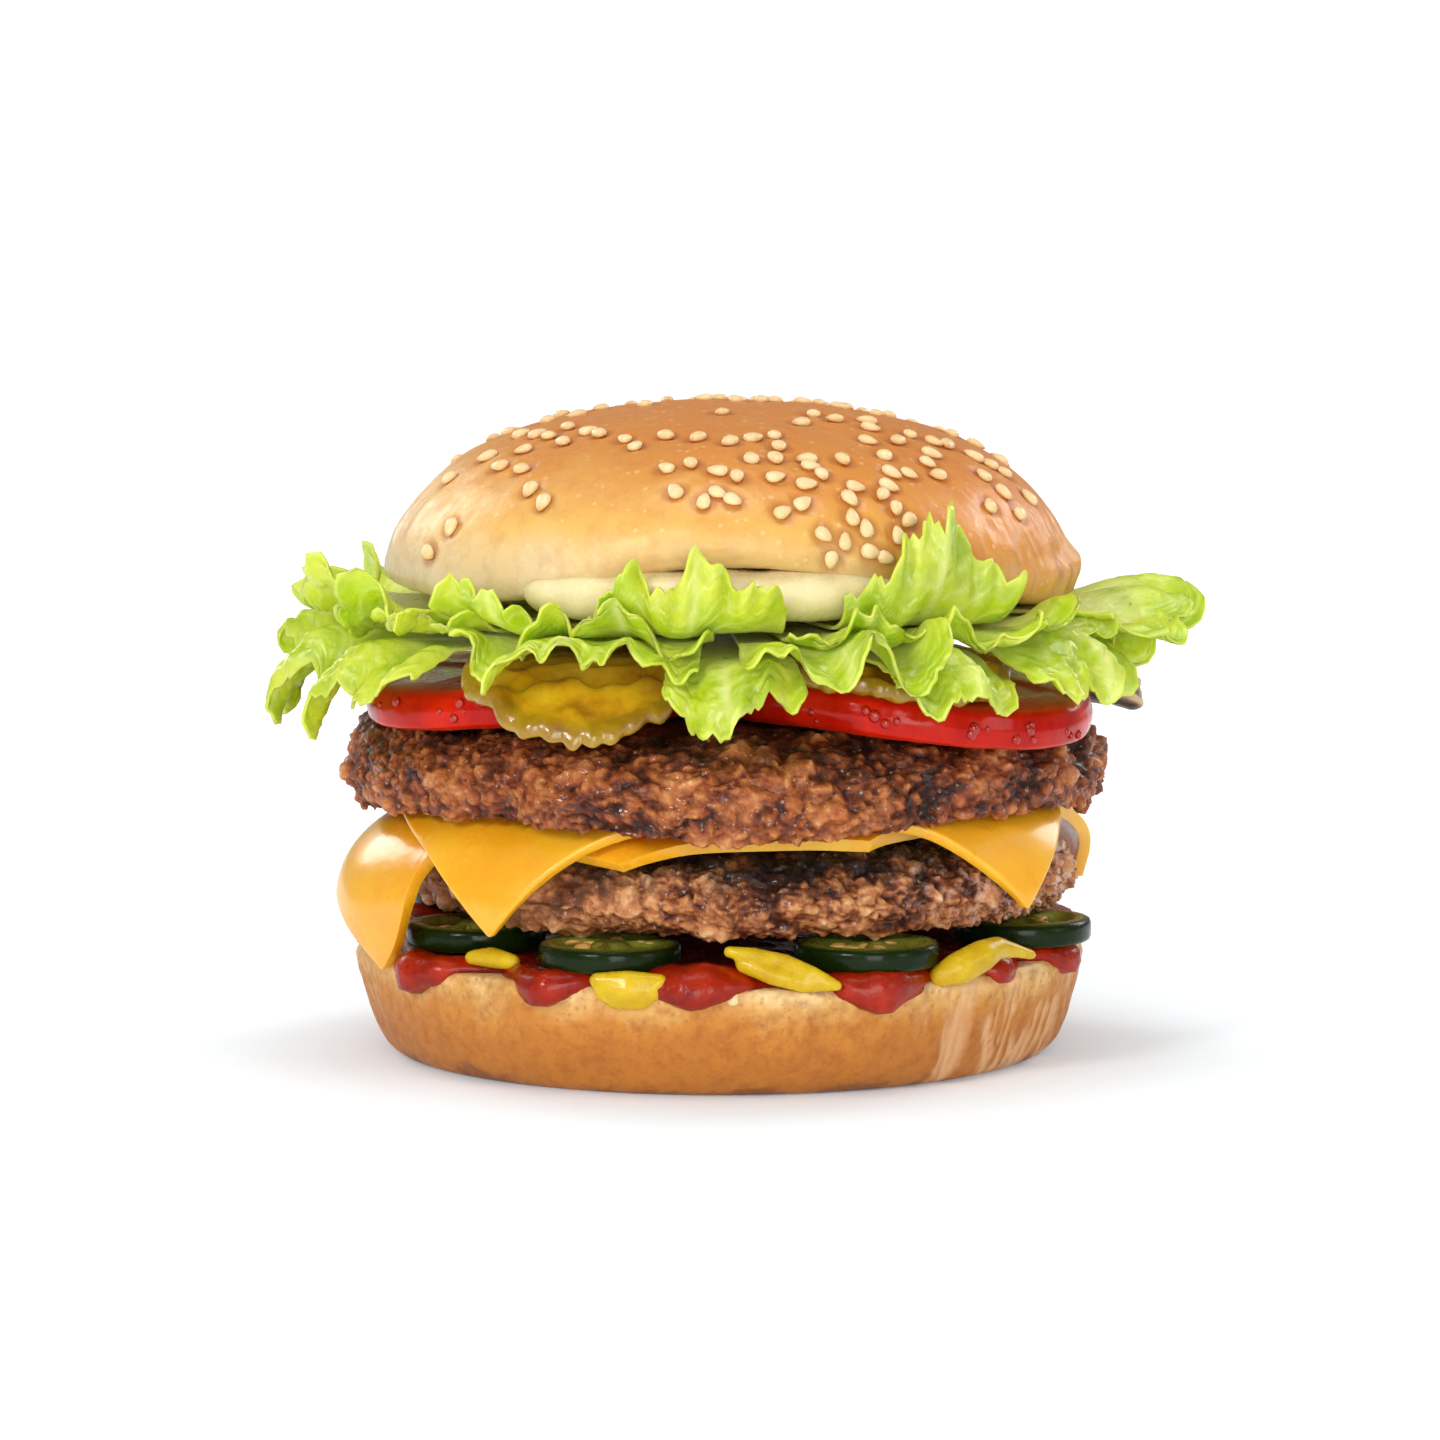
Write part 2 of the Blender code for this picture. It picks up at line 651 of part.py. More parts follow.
def main():
    clear_scene()
    crust = make_material("bun_crust", (0.75, 0.42, 0.15), 0.5)
    sesame = make_material("sesame_crust", (0.78, 0.46, 0.17), 0.45)
    red_sauce = make_material("ketchup", (0.45, 0.03, 0.01), 0.25)
    yellow_sauce = make_material("mustard", (0.85, 0.6, 0.05), 0.3)
    green_skin = make_material("chilli_skin", (0.02, 0.07, 0.01), 0.3)
    beef = make_material("grilled_beef", (0.16, 0.06, 0.03), 0.6)
    cheese = make_material("cheese", (0.95, 0.5, 0.05), 0.35)
    red_flesh = make_material("tomato", (0.6, 0.04, 0.01), 0.25)
    pickled = make_material("pickle", (0.45, 0.3, 0.02), 0.3)
    green_leaf = make_material("lettuce", (0.4, 0.55, 0.05), 0.4)
    browned = make_material("grilled_onion", (0.3, 0.2, 0.13), 0.5)
    white_sauce = make_material("mayonnaise", (0.9, 0.85, 0.65), 0.3)

    bottom_bun = heel()
    lower = lower_patty()
    upper = upper_patty()
    chillies = [chilli(place) for place in CHILLI_PLACES]
    sauce = cut_clear(ketchup(), [bottom_bun])
    low_bends = [(-165, 24, 4.5, 16)]
    slice_low = cheese_slice(-170, (6.0, -4.0), 33.4, 8.5, low_bends, [(-82, 42.5)], [(-172, 20, 14)])
    high_bends = [(-165, 24, 4.5, 0)]
    high_twists = [(-132, 18, 5), (-43, 16, -3)]
    slice_high = cheese_slice(CHEESE_UPPER_TURN, (0.2, -3.3), 36.2, 11.8, high_bends, [], high_twists)
    tomatoes = {
        "tomato_left": tomato((-24.2, -12.0), 23.5, 1.0),
        "tomato_right": tomato((25.0, -18.0), 25.0, 2.0),
        "tomato_back": tomato((1.0, 27.5), 20.5, 3.0),
    }
    pickles = {
        "pickle_left": pickle((-18.0, -33.5), 16.0, -34.5, 0.0),
        "pickle_right": pickle((22.0, -29.5), 16.0, -99.0, 1.0),
        "pickle_back": pickle((-4.0, 26.0), 15.0, -99.0, 2.0),
    }
    base = crown()
    smear = cut_clear(mayonnaise(), [base])

    mustard_spots = {
        "mustard_front_left": ((-12.0, -49.6, 15.4), (4.9, 3.2, 3.6)),
        "mustard_front": ((7.6, -48.2, 17.0), (7.6, 3.6, 2.9)),
        "mustard_front_right": ((33.5, -36.5, 16.9), (5.6, 4.2, 2.8)),
        "mustard_back": ((14.0, 47.6, 15.9), (6.6, 3.4, 3.2)),
    }
    below = [bottom_bun, sauce, lower, *chillies]
    dollops = {}
    for name, (place, size) in mustard_spots.items():
        mesh = bmesh.new()
        bmesh.ops.create_icosphere(mesh, subdivisions=2, radius=1.0)
        bmesh.ops.scale(mesh, vec=Vector(size), verts=mesh.verts)
        facing = math.atan2(place[1], place[0]) + QUARTER_TURN
        bmesh.ops.rotate(mesh, matrix=Matrix.Rotation(facing, 3, "Z"), verts=mesh.verts)
        bmesh.ops.translate(mesh, vec=Vector(place), verts=mesh.verts)
        dollops[name] = cut_clear(mesh, below)

    finish(bottom_bun, "heel", crust)
    finish(sauce, "ketchup", red_sauce)
    for name, mesh in dollops.items():
        finish(mesh, name, yellow_sauce)
    for number, mesh in enumerate(chillies, 1):
        finish(mesh, f"chilli_{number}", green_skin)
    finish(lower, "patty_lower", beef)
    finish(slice_low, "cheese_lower", cheese)
    finish(slice_high, "cheese_upper", cheese)
    finish(upper, "patty_upper", beef)
    for name, mesh in tomatoes.items():
        finish(mesh, name, red_flesh)
    for name, mesh in pickles.items():
        finish(mesh, name, pickled)
    finish(onion(), "onion", browned)
    for name, direction, spread, level, reach, tip in LEAVES:
        finish(leaf(direction, spread, level, reach, tip), name, green_leaf)
    finish(smear, "mayonnaise", white_sauce)
    finish(seeded_crown(base), "crown", sesame)


main()
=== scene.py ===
import math
import random

import bmesh
import bpy
from mathutils import Matrix, Vector, noise
from mathutils.bvhtree import BVHTree
from mathutils.kdtree import KDTree


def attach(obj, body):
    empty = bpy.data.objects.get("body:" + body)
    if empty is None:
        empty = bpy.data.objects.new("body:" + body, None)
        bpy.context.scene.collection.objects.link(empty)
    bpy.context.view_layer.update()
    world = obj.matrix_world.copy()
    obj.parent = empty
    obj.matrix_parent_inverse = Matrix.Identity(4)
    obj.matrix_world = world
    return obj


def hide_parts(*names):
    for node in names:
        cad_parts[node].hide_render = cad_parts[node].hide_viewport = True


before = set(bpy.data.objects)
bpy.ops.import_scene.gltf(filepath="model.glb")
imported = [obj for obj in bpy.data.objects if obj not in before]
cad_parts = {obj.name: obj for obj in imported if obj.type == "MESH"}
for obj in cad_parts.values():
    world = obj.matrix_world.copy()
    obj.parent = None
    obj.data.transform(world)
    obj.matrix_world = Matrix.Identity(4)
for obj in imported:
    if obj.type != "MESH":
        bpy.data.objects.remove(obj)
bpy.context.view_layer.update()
print("frame loaded:", len(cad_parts), "nodes")

# Lengths below are millimetres, and each finished mesh is scaled to metres
mm = 0.001
turn = 2.0 * math.pi
grid = 1.0


# Small helpers

def tint(red, green, blue):  # a display colour, 0 to 255, as the shader wants it
    parts = [value / 255.0 for value in (red, green, blue)]
    return (*[part / 12.92 if part <= 0.04045 else ((part + 0.055) / 1.055) ** 2.4 for part in parts], 1.0)


def soften(low, high, value):  # rises from 0 at low to 1 at high
    share = max(0.0, min(1.0, (value - low) / (high - low)))
    return share * share * (3.0 - 2.0 * share)


def wave(angle, scale, seed):  # an uneven value that closes on itself round the burger
    return noise.noise(Vector((math.cos(angle) * scale, math.sin(angle) * scale, seed)))


def apart(angle, degrees):  # degrees between a direction and another
    return abs((math.degrees(angle) - degrees + 180.0) % 360.0 - 180.0)


def swell(angle, degrees, width):
    return math.exp(-((apart(angle, degrees) / width) ** 2))


def cloud(place, size, octaves, seed=0.0):  # layered noise, about -1 to 1
    return noise.fractal(place / size + Vector((seed, 0.0, seed)), 1.0, 2.0, octaves)


def grains(place, size, seed=0.0):  # 1 in the middle of a grain, 0 in the crack between two
    near = noise.voronoi(place / size + Vector((seed, seed, 0.0)))[0]
    return min(1.0, 1.6 * (near[1] - near[0]))


def smoothLine(points, count):  # the same number of even steps along a rounded line
    points = [Vector((*point, 0.0)) for point in points]
    curve = [points[0]]
    for index in range(len(points) - 1):
        before = points[max(0, index - 1)]
        after = points[min(len(points) - 1, index + 2)]
        start, end = points[index], points[index + 1]
        for step in range(1, 9):
            part = step / 8.0
            square = (2.0 * before - 5.0 * start + 4.0 * end - after) * part ** 2
            cube = (3.0 * start - before - 3.0 * end + after) * part ** 3
            pull = 0.5 * ((end - before) * part + square + cube)
            curve.append(start + pull)
    lengths = [0.0]
    for index in range(1, len(curve)):
        lengths.append(lengths[-1] + (curve[index] - curve[index - 1]).length)
    placed = []
    at = 0
    for step in range(count + 1):
        goal = lengths[-1] * step / count
        while at < len(curve) - 2 and lengths[at + 1] < goal:
            at += 1
        span = max(1e-6, lengths[at + 1] - lengths[at])
        spot = curve[at].lerp(curve[at + 1], (goal - lengths[at]) / span)
        placed.append((max(0.0, spot.x), spot.y))
    placed[0] = (0.0, placed[0][1])
    placed[-1] = (0.0, placed[-1][1])
    return placed


def roundBody(profile, segments):  # profile(angle) lists (radius, height) from the top pole down
    bands = len(profile(0.0)) - 1
    mesh = bmesh.new()
    bmesh.ops.create_uvsphere(mesh, u_segments=segments, v_segments=bands, radius=1.0)
    columns = {}
    for vert in mesh.verts:
        ring = round(math.acos(max(-1.0, min(1.0, vert.co.z))) / math.pi * bands)
        angle = math.atan2(vert.co.y, vert.co.x)
        column = round(angle / turn * segments)
        if column not in columns:
            columns[column] = profile(column * turn / segments)
        radius, height = columns[column][ring]
        vert.co = (radius * math.cos(angle), radius * math.sin(angle), height)
    bmesh.ops.recalc_face_normals(mesh, faces=mesh.faces)
    mesh.normal_update()
    return mesh


def pushOut(mesh, depth, mark=None):  # moves each vertex along its normal by depth(place, normal)
    mesh.normal_update()
    layer = mesh.verts.layers.float.new(mark) if mark else None
    moved = []
    for vert in mesh.verts:
        amount, value = depth(vert.co, vert.normal)
        moved.append((vert, vert.co + vert.normal * amount, value))
    for vert, place, value in moved:
        vert.co = place
        if layer:
            vert[layer] = value


def finishPiece(mesh, name, material, nodes, bevelWidth=0.0):
    bmesh.ops.scale(mesh, vec=(mm, mm, mm), verts=mesh.verts)
    data = bpy.data.meshes.new(name)
    mesh.to_mesh(data)
    mesh.free()
    data.shade_smooth()
    data.materials.append(material)
    piece = bpy.data.objects.new(name, data)
    bpy.context.scene.collection.objects.link(piece)
    if bevelWidth:
        edge = piece.modifiers.new("softEdge", "BEVEL")
        edge.width = bevelWidth * mm
        edge.segments = 3
        edge.limit_method = "ANGLE"
        edge.angle_limit = math.radians(50)
    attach(piece, "root")
    if nodes:
        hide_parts(*nodes)
    print("made", name, len(data.polygons), "faces")
    return piece


# Shader helpers

def feed(tree, socket, value):
    if isinstance(value, bpy.types.NodeSocket):
        tree.links.new(value, socket)
    else:
        socket.default_value = value


def addNode(tree, kind, **settings):
    made = tree.nodes.new(kind)
    for name, value in settings.items():
        setattr(made, name, value)
    return made


def mixed(tree, factor, first, second, blend="MIX"):
    made = addNode(tree, "ShaderNodeMix", data_type="RGBA", blend_type=blend)
    feed(tree, made.inputs[0], factor)
    feed(tree, made.inputs[6], first)
    feed(tree, made.inputs[7], second)
    return made.outputs[2]


def worked(tree, operation, first, second=0.0, clamp=False):
    made = addNode(tree, "ShaderNodeMath", operation=operation, use_clamp=clamp)
    feed(tree, made.inputs[0], first)
    feed(tree, made.inputs[1], second)
    return made.outputs[0]


def spread(tree, value, low, high, toLow=0.0, toHigh=1.0):
    made = addNode(tree, "ShaderNodeMapRange", clamp=True)
    feed(tree, made.inputs["Value"], value)
    made.inputs["From Min"].default_value = low
    made.inputs["From Max"].default_value = high
    made.inputs["To Min"].default_value = toLow
    made.inputs["To Max"].default_value = toHigh
    return made.outputs["Result"]


def ramp(tree, value, stops):
    made = addNode(tree, "ShaderNodeValToRGB")
    feed(tree, made.inputs["Fac"], value)
    elements = made.color_ramp.elements
    while len(elements) < len(stops):
        elements.new(0.5)
    for element, (position, colour) in zip(elements, stops):
        element.position = position
        element.color = colour
    return made.outputs["Color"]


def marked(tree, name):
    return addNode(tree, "ShaderNodeAttribute", attribute_name=name).outputs["Fac"]


def position(tree, axis):  # metres along one axis of the burger
    coordinates = addNode(tree, "ShaderNodeTexCoord")
    split = addNode(tree, "ShaderNodeSeparateXYZ")
    tree.links.new(coordinates.outputs["Object"], split.inputs[0])
    return split.outputs[axis]


def newGroup(name, inputs, outputs):
    group = bpy.data.node_groups.new(name, "ShaderNodeTree")
    for socket, value in inputs.items():
        made = group.interface.new_socket(socket, in_out="INPUT", socket_type="NodeSocketFloat")
        made.default_value = value
    for socket in outputs:
        group.interface.new_socket(socket, in_out="OUTPUT", socket_type="NodeSocketFloat")
    return group, group.nodes.new("NodeGroupInput"), group.nodes.new("NodeGroupOutput")


# Uneven patches of two sizes on Object coordinates, size in millimetres, flattened by a stretch upwards
def makePatches():
    group, given, result = newGroup("patches", {"Size": 5.0, "Upright": 1.0}, ("Broad", "Fine"))
    coordinates = addNode(group, "ShaderNodeTexCoord")
    stretch = addNode(group, "ShaderNodeCombineXYZ")
    stretch.inputs[0].default_value = 1.0
    stretch.inputs[1].default_value = 1.0
    group.links.new(given.outputs["Upright"], stretch.inputs[2])
    scaled = addNode(group, "ShaderNodeVectorMath", operation="MULTIPLY")
    group.links.new(coordinates.outputs["Object"], scaled.inputs[0])
    group.links.new(stretch.outputs[0], scaled.inputs[1])
    perMetre = worked(group, "DIVIDE", 1000.0, given.outputs["Size"])
    for socket, share in (("Broad", 1.0), ("Fine", 5.0)):
        texture = addNode(group, "ShaderNodeTexNoise")
        texture.inputs["Detail"].default_value = 4.0
        texture.inputs["Roughness"].default_value = 0.6
        group.links.new(scaled.outputs[0], texture.inputs["Vector"])
        group.links.new(worked(group, "MULTIPLY", perMetre, share), texture.inputs["Scale"])
        group.links.new(texture.outputs["Fac"], result.inputs[socket])
    return group


# Small round marks, such as pores, flecks and beads of fat
def makeFlecks():
    group, given, result = newGroup("flecks", {"Size": 1.0, "Share": 0.3}, ("Mask",))
    coordinates = addNode(group, "ShaderNodeTexCoord")
    texture = addNode(group, "ShaderNodeTexVoronoi")
    group.links.new(coordinates.outputs["Object"], texture.inputs["Vector"])
    group.links.new(worked(group, "DIVIDE", 1000.0, given.outputs["Size"]), texture.inputs["Scale"])
    inside = worked(group, "LESS_THAN", texture.outputs["Distance"], 0.33)
    split = addNode(group, "ShaderNodeSeparateColor")
    group.links.new(texture.outputs["Color"], split.inputs[0])
    chosen = worked(group, "LESS_THAN", split.outputs[0], given.outputs["Share"])
    group.links.new(worked(group, "MULTIPLY", inside, chosen), result.inputs["Mask"])
    return group


patches = makePatches()
flecks = makeFlecks()


def patch(tree, size, upright=1.0):
    made = addNode(tree, "ShaderNodeGroup", node_tree=patches)
    made.inputs["Size"].default_value = size
    made.inputs["Upright"].default_value = upright
    return made.outputs["Broad"], made.outputs["Fine"]


def fleck(tree, size, share):
    made = addNode(tree, "ShaderNodeGroup", node_tree=flecks)
    made.inputs["Size"].default_value = size
    made.inputs["Share"].default_value = share
    return made.outputs["Mask"]


def startMaterial(name, roughness, **sockets):
    material = bpy.data.materials.new(name)
    material.use_nodes = True
    tree = material.node_tree
    shader = tree.nodes["Principled BSDF"]
    shader.inputs["Roughness"].default_value = roughness
    for socket, value in sockets.items():
        shader.inputs[socket.replace("_", " ")].default_value = value
    return material, tree, shader


def bump(tree, shader, value, depth, before=None):  # depth in millimetres
    made = addNode(tree, "ShaderNodeBump")
    made.inputs["Strength"].default_value = 1.0
    made.inputs["Distance"].default_value = depth * mm
    feed(tree, made.inputs["Height"], value)
    if before:
        tree.links.new(before, made.inputs["Normal"])
    tree.links.new(made.outputs["Normal"], shader.inputs["Normal"])
    return made.outputs["Normal"]


# Camera: a long lens a metre in front, looking slightly down

view = {"distance": 1.0, "height": 0.158, "downDegrees": 6.45, "lens": 183.3}
cameraData = bpy.data.cameras.new("camera")
cameraData.lens = view["lens"]
cameraData.sensor_width = 36.0
camera = bpy.data.objects.new("camera", cameraData)
camera.location = (0.0, -view["distance"], view["height"])
camera.rotation_euler = (math.radians(90.0 - view["downDegrees"]), 0.0, 0.0)
bpy.context.scene.collection.objects.link(camera)
bpy.context.scene.camera = camera


# Bottom bun

heel = {
    "radius": 50.0, "foot": 42.5, "height": 14.8, "flare": 0.35, "shoulder": 1.5,
    "creaseDirection": -32.0, "creaseWidth": 22.0, "creaseDepth": 0.9, "lump": 0.35,
}


def heelRadius(angle):
    return heel["radius"] * (1.0 + 0.012 * wave(angle, 1.1, 3.0))


def heelTop(angle):
    return heel["height"] + 0.4 * wave(angle, 1.3, 7.0) + 0.3 * swell(angle, -150, 28)


def crustCrease(place, direction, width, size):  # broken upright creases in one stretch of a crust
    angle = math.atan2(place.y, place.x)
    near = swell(angle, direction, width)
    if near < 0.02:
        return 0.0
    along = 50.0 * angle + 1.3 * noise.noise(place / 7.0)
    wide = 1.0 - abs(noise.noise(Vector((along / size, place.z / (8.0 * size), 2.0)))) * 3.4
    thin = 1.0 - abs(noise.noise(Vector((2.3 * along / size, place.z / (5.0 * size), 7.0)))) * 4.0
    broken = soften(-0.35, 0.2, noise.noise(Vector((along / 6.0, place.z / 9.0, 5.0))))
    return near * broken * max(0.0, wide, 0.55 * thin)


def heelMaterial():
    material, tree, shader = startMaterial("bunCrust", 0.55, Subsurface_Weight=0.08, Subsurface_Scale=0.002)
    shader.inputs["Subsurface Radius"].default_value = (1.0, 0.5, 0.25)
    broad, fineNoise = patch(tree, 9.0)
    level = worked(tree, "ADD", position(tree, "Z"), spread(tree, broad, 0.3, 0.7, -0.0022, 0.0022))
    side = ramp(tree, spread(tree, level, 0.0, 0.0155), (
        (0.0, tint(144, 80, 22)), (0.05, tint(180, 110, 24)), (0.4, tint(188, 114, 26)),
        (0.64, tint(200, 128, 38)), (0.84, tint(220, 168, 92)), (1.0, tint(240, 208, 148)),
    ))
    side = mixed(tree, spread(tree, fineNoise, 0.42, 0.7, 0.0, 0.5), side, tint(150, 76, 20))
    side = mixed(tree, worked(tree, "MULTIPLY", fleck(tree, 0.9, 0.25), 0.35), side, tint(160, 88, 34))
    # Creases are paler along their sides and darker in their deepest part; that darker colour is painted shade
    crease = marked(tree, "crease")
    side = mixed(tree, spread(tree, crease, 0.1, 0.45, 0.0, 0.6), side, tint(238, 192, 142))
    side = mixed(tree, spread(tree, crease, 0.5, 0.9, 0.0, 0.6), side, tint(172, 98, 44))
    crumb = mixed(tree, spread(tree, fineNoise, 0.35, 0.65), tint(246, 226, 178), tint(228, 196, 138))
    feed(tree, shader.inputs["Base Color"], mixed(tree, marked(tree, "cut"), side, crumb))
    feed(tree, shader.inputs["Roughness"], spread(tree, fineNoise, 0.3, 0.7, 0.45, 0.7))
    bump(tree, shader, fineNoise, 0.35)
    return material


def makeHeel():
    def profile(angle):
        radius, top = heelRadius(angle), heelTop(angle)
        edge = heel["shoulder"]
        points = []
        for step in range(12):
            lift = (top - heel["height"]) * soften(0.75, 1.0, step / 12.0)
            points.append((radius * step / 12.0, heel["height"] + lift))
        for step in range(9):
            lean = 0.5 * math.pi * step / 8.0
            points.append((radius - edge + edge * math.sin(lean), top - edge + edge * math.cos(lean)))
        steps = round(46 * grid)
        for step in range(1, steps + 1):
            share = (1.0 - step / steps) ** 1.35
            side = heel["foot"] + (radius - heel["foot"]) * share ** heel["flare"]
            points.append((side, share * (top - edge)))
        points += [(0.8 * heel["foot"], 0.0), (0.4 * heel["foot"], 0.0), (0.0, 0.0)]
        return points

    mesh = roundBody(profile, round(460 * grid))
    cut = mesh.verts.layers.float.new("cut")
    for vert in mesh.verts:
        inside = 1.0 - soften(heel["radius"] - 3.4, heel["radius"] - 1.6, vert.co.xy.length)
        vert[cut] = inside * soften(13.0, 14.2, vert.co.z)

    def relief(place, normal):
        rise = soften(0.3, 3.0, place.z)
        crease = crustCrease(place, heel["creaseDirection"], heel["creaseWidth"], 2.3)
        crease = max(crease, 0.5 * crustCrease(place, 140.0, 40.0, 2.8))
        out = heel["lump"] * cloud(place, 13.0, 3) + 0.1 * cloud(place, 2.6, 2, 4.0)
        out -= heel["creaseDepth"] * crease
        if normal.z > 0.8:
            out = 0.16 * grains(place, 1.5)
        return out * rise, crease

    pushOut(mesh, relief, "crease")
    return finishPiece(mesh, "bottomBun", heelMaterial(), ["heel"])


makeHeel()


# Ketchup: a film that is squeezed out past the rim in round lobes. Mounds and lobes are given as
# direction and width in degrees, then extra height or reach.

ketchup = {"bead": 1.0, "lobeBead": 1.35, "edge": 44.6, "inside": 34.0, "run": 1.05}
mounds = [(-94, 12, 1.5), (-131, 6, 0.9), (-37, 8, 1.2), (164, 8, 1.2), (8, 10, 1.4), (75, 9, 1.5)]
lobes = [(164, 8, 8.0), (-144, 11, 7.2), (-117, 10, 7.9), (-94, 12, 7.0), (-64, 12, 8.0), (-40, 9, 6.2),
         (-21, 9, 7.4), (20, 11, 8.0), (58, 10, 7.4), (96, 12, 8.4), (132, 11, 7.8)]


def sauceMaterial(name, deep, bright, roughness, depth, milky=0.2):
    material, tree, shader = startMaterial(
        name, roughness, Subsurface_Weight=milky, Subsurface_Scale=0.002, Specular_IOR_Level=0.22,
        Coat_Weight=0.15, Coat_Roughness=0.03)
    shader.inputs["Subsurface Radius"].default_value = (1.0, 0.35, 0.15)
    broad, fineNoise = patch(tree, 4.0)
    feed(tree, shader.inputs["Base Color"], ramp(tree, broad, ((0.3, deep), (0.7, bright))))
    sheen = spread(tree, fineNoise, 0.3, 0.7, 0.6 * roughness, 1.5 * roughness)
    feed(tree, shader.inputs["Roughness"], sheen)
    bump(tree, shader, fineNoise, depth)
    return material


ketchupRed = sauceMaterial("ketchupSauce", tint(116, 10, 0), tint(176, 38, 4), 0.15, 0.16, 0.03)
mustardYellow = sauceMaterial("mustardSauce", tint(190, 150, 8), tint(220, 188, 28), 0.28, 0.08)


def makeKetchup():
    def profile(angle):
        rim = heelRadius(angle)
        pushed = max(reach * swell(angle, direction, width) for direction, width, reach in lobes)
        reach = ketchup["edge"] + 0.8 * wave(angle, 2.5, 11.0) + 0.9 * wave(angle, 9.0, 5.0) + pushed
        base = heelTop(angle) - 0.1
        fat = ketchup["bead"] + ketchup["lobeBead"] * pushed / 8.0 + 0.3 * wave(angle, 5.0, 9.0)
        heap = sum(extra * swell(angle, direction, width) for direction, width, extra in mounds)
        over = max(0.0, reach - rim + 0.4)
        drop = base - ketchup["run"] * over
        inner = min(reach - 1.5, rim - 1.3)
        points = [(0.0, base + 1.0), (ketchup["inside"], base + 1.0), (reach - 7.5, base + 1.0 + 0.8 * heap)]
        points += [(reach - 5.0, base + 0.8 * fat + heap), (reach - 2.6, base + fat + 0.55 * heap)]
        points += [(reach - 0.8, base + 0.72 * fat), (reach - 0.1, base + 0.2 * fat)]
        points += [(reach - 0.1, 0.4 * base + 0.6 * drop), (reach - 0.8, drop + 0.05), (reach - 1.5, drop)]
        points += [(inner, drop + 0.1), (inner - 3.0, base - 0.3)]
        points += [(ketchup["inside"], base - 0.3), (0.0, base - 0.3)]
        return smoothLine(points, round(74 * grid))

    mesh = roundBody(profile, round(520 * grid))
    pushOut(mesh, lambda place, normal: (0.42 * cloud(place, 3.6, 3, 2.0), 0.0))
    finishPiece(mesh, "ketchupLobes", ketchupRed, ["ketchup"])


makeKetchup()


# Mustard dollops: beads along a line, each (place, radius), melt into one body

dollops = {
    "mustard_front_left": [
        ((-16.2, -47.8, 16.0), 1.1), ((-12.0, -48.6, 16.0), 1.5), ((-7.8, -49.2, 16.0), 1.1),
        ((-8.8, -48.9, 14.7), 1.5), ((-12.0, -48.5, 14.6), 2.0), ((-15.2, -47.8, 14.7), 1.5),
        ((-13.6, -48.0, 13.6), 1.5), ((-10.4, -48.6, 13.6), 1.5),
    ],
    "mustard_front": [
        ((1.2, -46.2, 19.5), 0.9), ((4.6, -47.2, 19.2), 1.1), ((8.6, -48.2, 18.5), 1.1),
        ((12.2, -48.9, 17.1), 1.0), ((15.4, -48.9, 15.4), 0.8), ((11.0, -49.0, 15.6), 1.2),
        ((7.0, -48.4, 16.7), 1.4), ((3.2, -47.2, 18.0), 1.3), ((6.0, -47.6, 17.8), 1.4),
        ((11.4, -48.8, 16.4), 1.2),
    ],
    "mustard_front_right": [
        ((29.0, -40.2, 15.4), 1.5), ((31.6, -39.4, 16.3), 2.3), ((34.6, -37.2, 17.6), 2.2),
        ((36.8, -34.6, 18.4), 1.6), ((39.6, -32.2, 17.6), 1.0), ((41.6, -30.2, 16.8), 0.8),
    ],
    "mustard_left": [
        ((-33.0, -33.4, 16.9), 1.1), ((-30.4, -34.8, 17.1), 1.5), ((-27.6, -36.8, 16.8), 1.2),
    ],
    "mustard_back": [
        ((8.6, 48.0, 15.4), 1.9), ((12.0, 48.4, 15.3), 2.7), ((15.6, 47.6, 15.8), 2.9),
        ((19.0, 45.9, 16.2), 2.0),
    ],
}
melting = {"voxel": 0.25, "smoothing": 0.7, "rounds": 22}


def makeMustard(node, beads):
    mesh = bmesh.new()
    for index in range(len(beads) - 1):
        for step in range(5):
            share = step / 4.0
            place = Vector(beads[index][0]).lerp(Vector(beads[index + 1][0]), share)
            radius = beads[index][1] * (1.0 - share) + beads[index + 1][1] * share
            made = bmesh.ops.create_icosphere(mesh, subdivisions=3, radius=radius)["verts"]
            bmesh.ops.translate(mesh, vec=place, verts=made)
    nodes = [node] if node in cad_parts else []
    dollop = finishPiece(mesh, node.replace("mustard", "dollop"), mustardYellow, nodes)
    melt = dollop.modifiers.new("melt", "REMESH")
    melt.mode = "VOXEL"
    melt.voxel_size = melting["voxel"] * mm
    melt.use_smooth_shade = True
    even = dollop.modifiers.new("even", "SMOOTH")
    even.factor = melting["smoothing"]
    even.iterations = melting["rounds"]


for node, beads in dollops.items():
    makeMustard(node, beads)


# Green chilli slices with their seeds

chilli = {
    "radius": 9.4, "thickness": 3.2, "floor": 16.6, "pocketDepth": 0.9, "seedsEach": 9, "draw": 7,
    "places": (
        (-14.6, -38.6), (19.6, -37.8), (-33.0, -19.2), (41.0, -14.5), (-34.0, 22.0), (-2.0, 37.5), (33.0, 23.0),
    ),
}


def chilliMaterial():
    material, tree, shader = startMaterial(
        "chilliSkin", 0.2, Specular_IOR_Level=0.12, Coat_Weight=0.1, Coat_Roughness=0.02)
    broad, fineNoise = patch(tree, 6.0)
    skin = mixed(tree, broad, tint(6, 18, 1), tint(24, 42, 3))
    flesh = mixed(tree, fineNoise, tint(88, 106, 26), tint(158, 152, 58))
    feed(tree, shader.inputs["Base Color"], mixed(tree, marked(tree, "flesh"), skin, flesh))
    feed(tree, shader.inputs["Roughness"], spread(tree, fineNoise, 0.3, 0.7, 0.15, 0.35))
    bump(tree, shader, fineNoise, 0.06)
    return material


